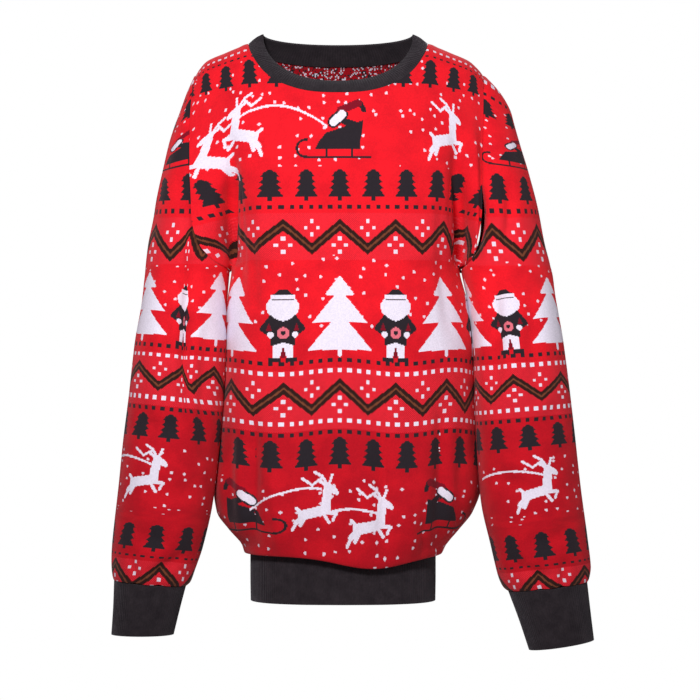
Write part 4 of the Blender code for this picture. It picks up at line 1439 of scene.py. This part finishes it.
RIB_STITCH = 0.0016
charcoal, tree, shader, knit = knit_material("ribbed_charcoal", RIB_STITCH, 0.12, 0.88, (0.8, 0.75, 0.85, 1))
fuzz = tree.nodes.new("ShaderNodeTexNoise")
fuzz.inputs["Scale"].default_value = 90.0
fuzz.inputs["Detail"].default_value = 3.0
position = tree.nodes.new("ShaderNodeTexCoord")
tree.links.new(position.outputs["Object"], fuzz.inputs["Vector"])
worn = Count(tree, fuzz.outputs["Fac"]).math("MULTIPLY_ADD", 1.8, -0.4, clamp=True)
colour = paint(tree, (0.0170, 0.0125, 0.0160, 1.0), (0.0330, 0.0250, 0.0300, 1.0), worn)
tree.links.new(shaded(tree, colour, knit, 0.55, 0.25), shader.inputs["Base Color"])
print("materials:", jersey.name, wrong_side.name, charcoal.name)

# %% [markdown]
# ## The ribbed bands
#
# Rib is one knit column and one purl column by turns, and it stands in real ridges that catch the
# light along the cuffs. So it is shaped and not painted: a band's grid has six columns of points
# to each rib, pushed out and in along its normal. A band's own course runs round it and its two
# ends are welded.

# %% Band tables
RIB_PITCH = 0.0034
RIB_POINTS = 6
RIB_DEPTH = 0.00055

CUFF = "z dip middle_x half_width middle_y half_depth"
CUFFS = {
    -1: table(
        CUFF,
        (-0.6476, -0.007, 0.2301, 0.0428, -0.0550, 0.0450),
        (-0.6740, -0.005, 0.2340, 0.0398, -0.0560, 0.0420),
        (-0.7045, 0.000, 0.2388, 0.0372, -0.0570, 0.0395),
    ),
    1: table(
        CUFF,
        (-0.6536, -0.011, 0.2442, 0.0470, -0.0550, 0.0475),
        (-0.6880, -0.012, 0.2525, 0.0425, -0.0560, 0.0440),
        (-0.7230, -0.012, 0.2604, 0.0388, -0.0570, 0.0405),
    ),
}
HEM_BAND_HEIGHT = 0.062
HEM_BAND_GAP = 0.0006
HEM_BAND_INSET = 0.0008
HEM_EDGE_INSET = 0.0012
NECK_GAP = 0.0005
BAND_FRONT = table("y z", (-0.060, -0.045))[0]
BAND_BACK = table("y z", (0.036, 0.006))[0]
BAND_SIDE = table("x z", (0.0905, 0.016))[0]
BAND_RISE = 1.1
BAND_BULGE = 0.0016
print("cuff rows:", {SIDE_NAME[side]: len(rows) for side, rows in CUFFS.items()})

# %% [markdown]
# ## A maker for ribs
#
# A one-by-one rib stands up and sinks at every other stitch. The maker evens the points along each
# line and pushes them in between ribs, least at the edges. A bump wouldn't show at the outline.

# %% Rib maker
def evened(line, count):
    """Points at even steps along a closed line, with the first one again at the end."""
    closed = np.concatenate([line, line[:1]])
    length = np.concatenate([[0], np.cumsum(np.linalg.norm(np.diff(closed, axis=0), axis=1))])
    at = np.linspace(0, length[-1], count + 1)
    return np.stack([np.interp(at, length, closed[:, k]) for k in range(3)], axis=1), length[-1]


def ribbed_band(name, edges, rows, flip):
    """A band between closed lines of like points, ribbed along its height."""
    longest = max(evened(edge, 4)[1] for edge in edges)
    ribs = round(longest / RIB_PITCH)
    lines = [evened(edge, ribs * RIB_POINTS)[0] for edge in edges]
    knots = np.linspace(0, 1, len(lines))
    grid = smooth(knots, np.array(lines), np.linspace(0, 1, rows))
    normal = normals_of(grid, flip)
    normal[:, 0] = normal[:, -1] = (normal[:, 0] + normal[:, -1]) / 2
    turn = np.arange(ribs * RIB_POINTS + 1) / RIB_POINTS * 2 * math.pi
    ends = np.sin(np.linspace(0, math.pi, rows)).clip(0, 1) ** 0.35
    push = (np.cos(turn) - 1)[None, :] / 2 * RIB_DEPTH * (0.35 + 0.65 * ends)[:, None]
    grid = grid + normal * push[:, :, None]
    grid[:, -1] = grid[:, 0]
    steps = np.linalg.norm(np.diff(grid, axis=0), axis=2).mean(axis=1)
    height = np.concatenate([[0], np.cumsum(steps)])
    across = np.arange(grid.shape[1]) / RIB_POINTS * RIB_STITCH * 2
    chart = np.stack(np.broadcast_arrays(across[None, :], height[:, None]), axis=2)
    print(name, "has", ribs, "ribs round", round(longest, 3), "m")
    return make_sheet(name, grid, chart, RIB, flip, [charcoal])


# %% [markdown]
# ## The cuffs
#
# Each cuff is a ribbed tube joined to the sleeve's end, drawn in at the wrist. It is made from oval
# courses, because a wrist is an oval and the rib has to lie evenly all round it.

# %% Cuffs
def cuff_line(row, side):
    """A closed oval course of a cuff."""
    turned = np.linspace(-math.pi, math.pi, 241)[:-1]
    fall = row.dip * (np.cos(turned) + 1) / 2
    x = row.middle_x + row.half_width * np.cos(turned)
    y = row.middle_y + row.half_depth * np.sin(turned)
    return np.stack([side * x, y, row.z - fall], axis=1)


pieces = {}
for side in (-1, 1):
    lines = [cuff_line(row, side) for row in CUFFS[side]][::-1]
    name = f"ribbed_cuff_{SIDE_NAME[side]}"
    pieces[f"cuff_{SIDE_NAME[side]}"] = ribbed_band(name, lines, 26, side < 0)
print("cuffs:", sorted(pieces))

# %% [markdown]
# ## The hem band
#
# The band takes the body's last course and goes straight down from it. Its lower edge is plain, and
# its height is a guess.

# %% Hem band
def hem_line(z, shrink):
    """The body's last course, at another height and a little smaller."""
    shares = np.linspace(0, 1, 90)
    line = []
    for forward in (-1, 1):
        half = body_point(1, forward, shares, np.full(90, HEM), body_guides(1, forward))[:, :2]
        left = half if forward < 0 else half[::-1]
        right = half[::-1] * (-1, 1) if forward < 0 else half * (-1, 1)
        both = np.concatenate([right, left[1:]]) if forward < 0 else np.concatenate([left, right[1:]])
        line.append(both[:-1])
    flat = np.concatenate(line) * (1 - shrink / RINGS[0].half_width)
    return np.concatenate([flat, np.full((len(flat), 1), z)], axis=1)


top = RINGS[0].z - HEM_BAND_GAP
hem_lines = [
    hem_line(top - HEM_BAND_HEIGHT, HEM_EDGE_INSET),
    hem_line(top - HEM_BAND_HEIGHT / 2, HEM_BAND_INSET),
    hem_line(top, HEM_BAND_INSET),
]
pieces["hem_band"] = ribbed_band("ribbed_hem_band", hem_lines, 14, False)
print("hem band", HEM_BAND_HEIGHT, "m high")

# %% [markdown]
# ## The neckband
#
# The band is linked round the neckline and rises from it towards the neck. It follows the panels'
# own necklines, so the seam stays closed, and it bulges a little, as a folded rib does.

# %% Neckband
def band_edge(angle, forward):
    """The neckband's free edge, at an angle from the middle of the front or back."""
    middle = BAND_FRONT if forward < 0 else BAND_BACK
    rise = (1 - np.cos(angle)) ** BAND_RISE
    z = middle.z + (BAND_SIDE.z - middle.z) * rise
    x = YOKE[-1].lean + BAND_SIDE.x * np.sin(angle)
    return np.stack([x, middle.y * np.cos(angle), z], axis=1)


def neck_lines():
    """The neckline round front and back, and the free edge beside it, point for point."""
    angles = np.linspace(-math.pi / 2, math.pi / 2, 181)
    outer, inner = [], []
    for forward, depth in ((-1, NECK_DEPTH), (1, BACK_NECK_DEPTH)):
        line = angles if forward < 0 else angles[::-1]
        shares = NECK_SPAN * np.abs(np.sin(line))
        levels = np.array([neckline(out, depth) for out in shares])
        right = body_point(-1, forward, shares, levels, body_guides(-1, forward))
        left = body_point(1, forward, shares, levels, body_guides(1, forward))
        outer.append(np.where((line < 0)[:, None], right, left)[:-1])
        inner.append(band_edge(line, forward)[:-1])
    outer, inner = np.concatenate(outer), np.concatenate(inner)
    step = inner - outer
    step /= np.linalg.norm(step, axis=1, keepdims=True)
    outer = outer + step * NECK_GAP
    return outer, inner


def band_between(outer, inner):
    """Lines from the neckline to the free edge, rounded out between them, at matching points."""
    ribs = round(evened(outer, 4)[1] / RIB_PITCH)
    closed = np.concatenate([outer, outer[:1]])
    length = np.concatenate([[0], np.cumsum(np.linalg.norm(np.diff(closed, axis=0), axis=1))])
    at = np.linspace(0, length[-1], ribs * RIB_POINTS + 1)
    pair = [np.concatenate([line, line[:1]]) for line in (outer, inner)]
    outer, inner = [np.stack([np.interp(at, length, p[:, k]) for k in range(3)], 1) for p in pair]
    share = np.linspace(0, 1, 14)[:, None, None]
    grid = outer + (inner - outer) * share
    grid[:, :, 2] += BAND_BULGE * np.sin(math.pi * share[:, :, 0])
    return grid, ribs


outer, inner = neck_lines()
grid, ribs = band_between(outer, inner)
normal = normals_of(grid, False)
normal[:, 0] = normal[:, -1] = (normal[:, 0] + normal[:, -1]) / 2
turn = np.arange(grid.shape[1]) / RIB_POINTS * 2 * math.pi
ends = np.sin(np.linspace(0, math.pi, grid.shape[0])).clip(0, 1) ** 0.35
push = (np.cos(turn) - 1)[None, :] / 2 * RIB_DEPTH * (0.35 + 0.65 * ends)[:, None]
grid = grid + normal * push[:, :, None]
grid[:, -1] = grid[:, 0]
across = np.arange(grid.shape[1]) / RIB_POINTS * RIB_STITCH * 2
up = np.linspace(0, np.linalg.norm(grid[-1] - grid[0], axis=1).mean(), grid.shape[0])
chart = np.stack(np.broadcast_arrays(across[None, :], up[:, None]), axis=2)
pieces["neckband"] = make_sheet("ribbed_neckband", grid, chart, RIB, False, [charcoal])
print("neckband has", ribs, "ribs")

# %% [markdown]
# ## The four patterned panels
#
# The folded grids become walls of jersey here, with the pattern outside and the wrong side inside.
# The back and the right sleeve were worked the other way round, so their faces are turned over.

# %% Patterned panels
for node, (grid, chart) in panels.items():
    flip = node in ("back", "sleeve_right")
    pieces[node] = make_sheet(f"knitted_{node}", grid, chart, JERSEY, flip, [jersey, wrong_side])
print("pieces:", sorted(pieces))

# %% [markdown]
# ## The cut
#
# Each piece is listed as a sheet of cloth, with the size it was cut or knitted to before it was
# sewn. A piece is as wide as its longest course and as long as its longest column, both
# measured along the finished outer face, in and out of the ribs and folds.

# %% Pieces, finishes and cuts
CUTS = table(
    "node slot held width length area",
    ("front", "patterned_jersey", "draped", 0.50, 0.69, 0.269),
    ("back", "patterned_jersey", "draped", 0.46, 0.69, 0.265),
    ("sleeve_right", "patterned_jersey", "draped", 0.37, 0.69, 0.170),
    ("sleeve_left", "patterned_jersey", "draped", 0.38, 0.68, 0.184),
    ("neckband", "ribbed_charcoal", "stretched", 0.63, 0.031, 0.0156),
    ("hem_band", "ribbed_charcoal", "stretched", 0.71, 0.062, 0.0437),
    ("cuff_right", "ribbed_charcoal", "stretched", 0.28, 0.064, 0.0164),
    ("cuff_left", "ribbed_charcoal", "stretched", 0.30, 0.074, 0.0204),
)
for row in CUTS:
    piece = pieces[row.node]
    half_area = sum(face.area for face in piece.data.polygons) / 2
    print(row.node, "measures", round(half_area, 4), "m2, cut", row.area)
    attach(piece, "root")
    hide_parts(row.node)
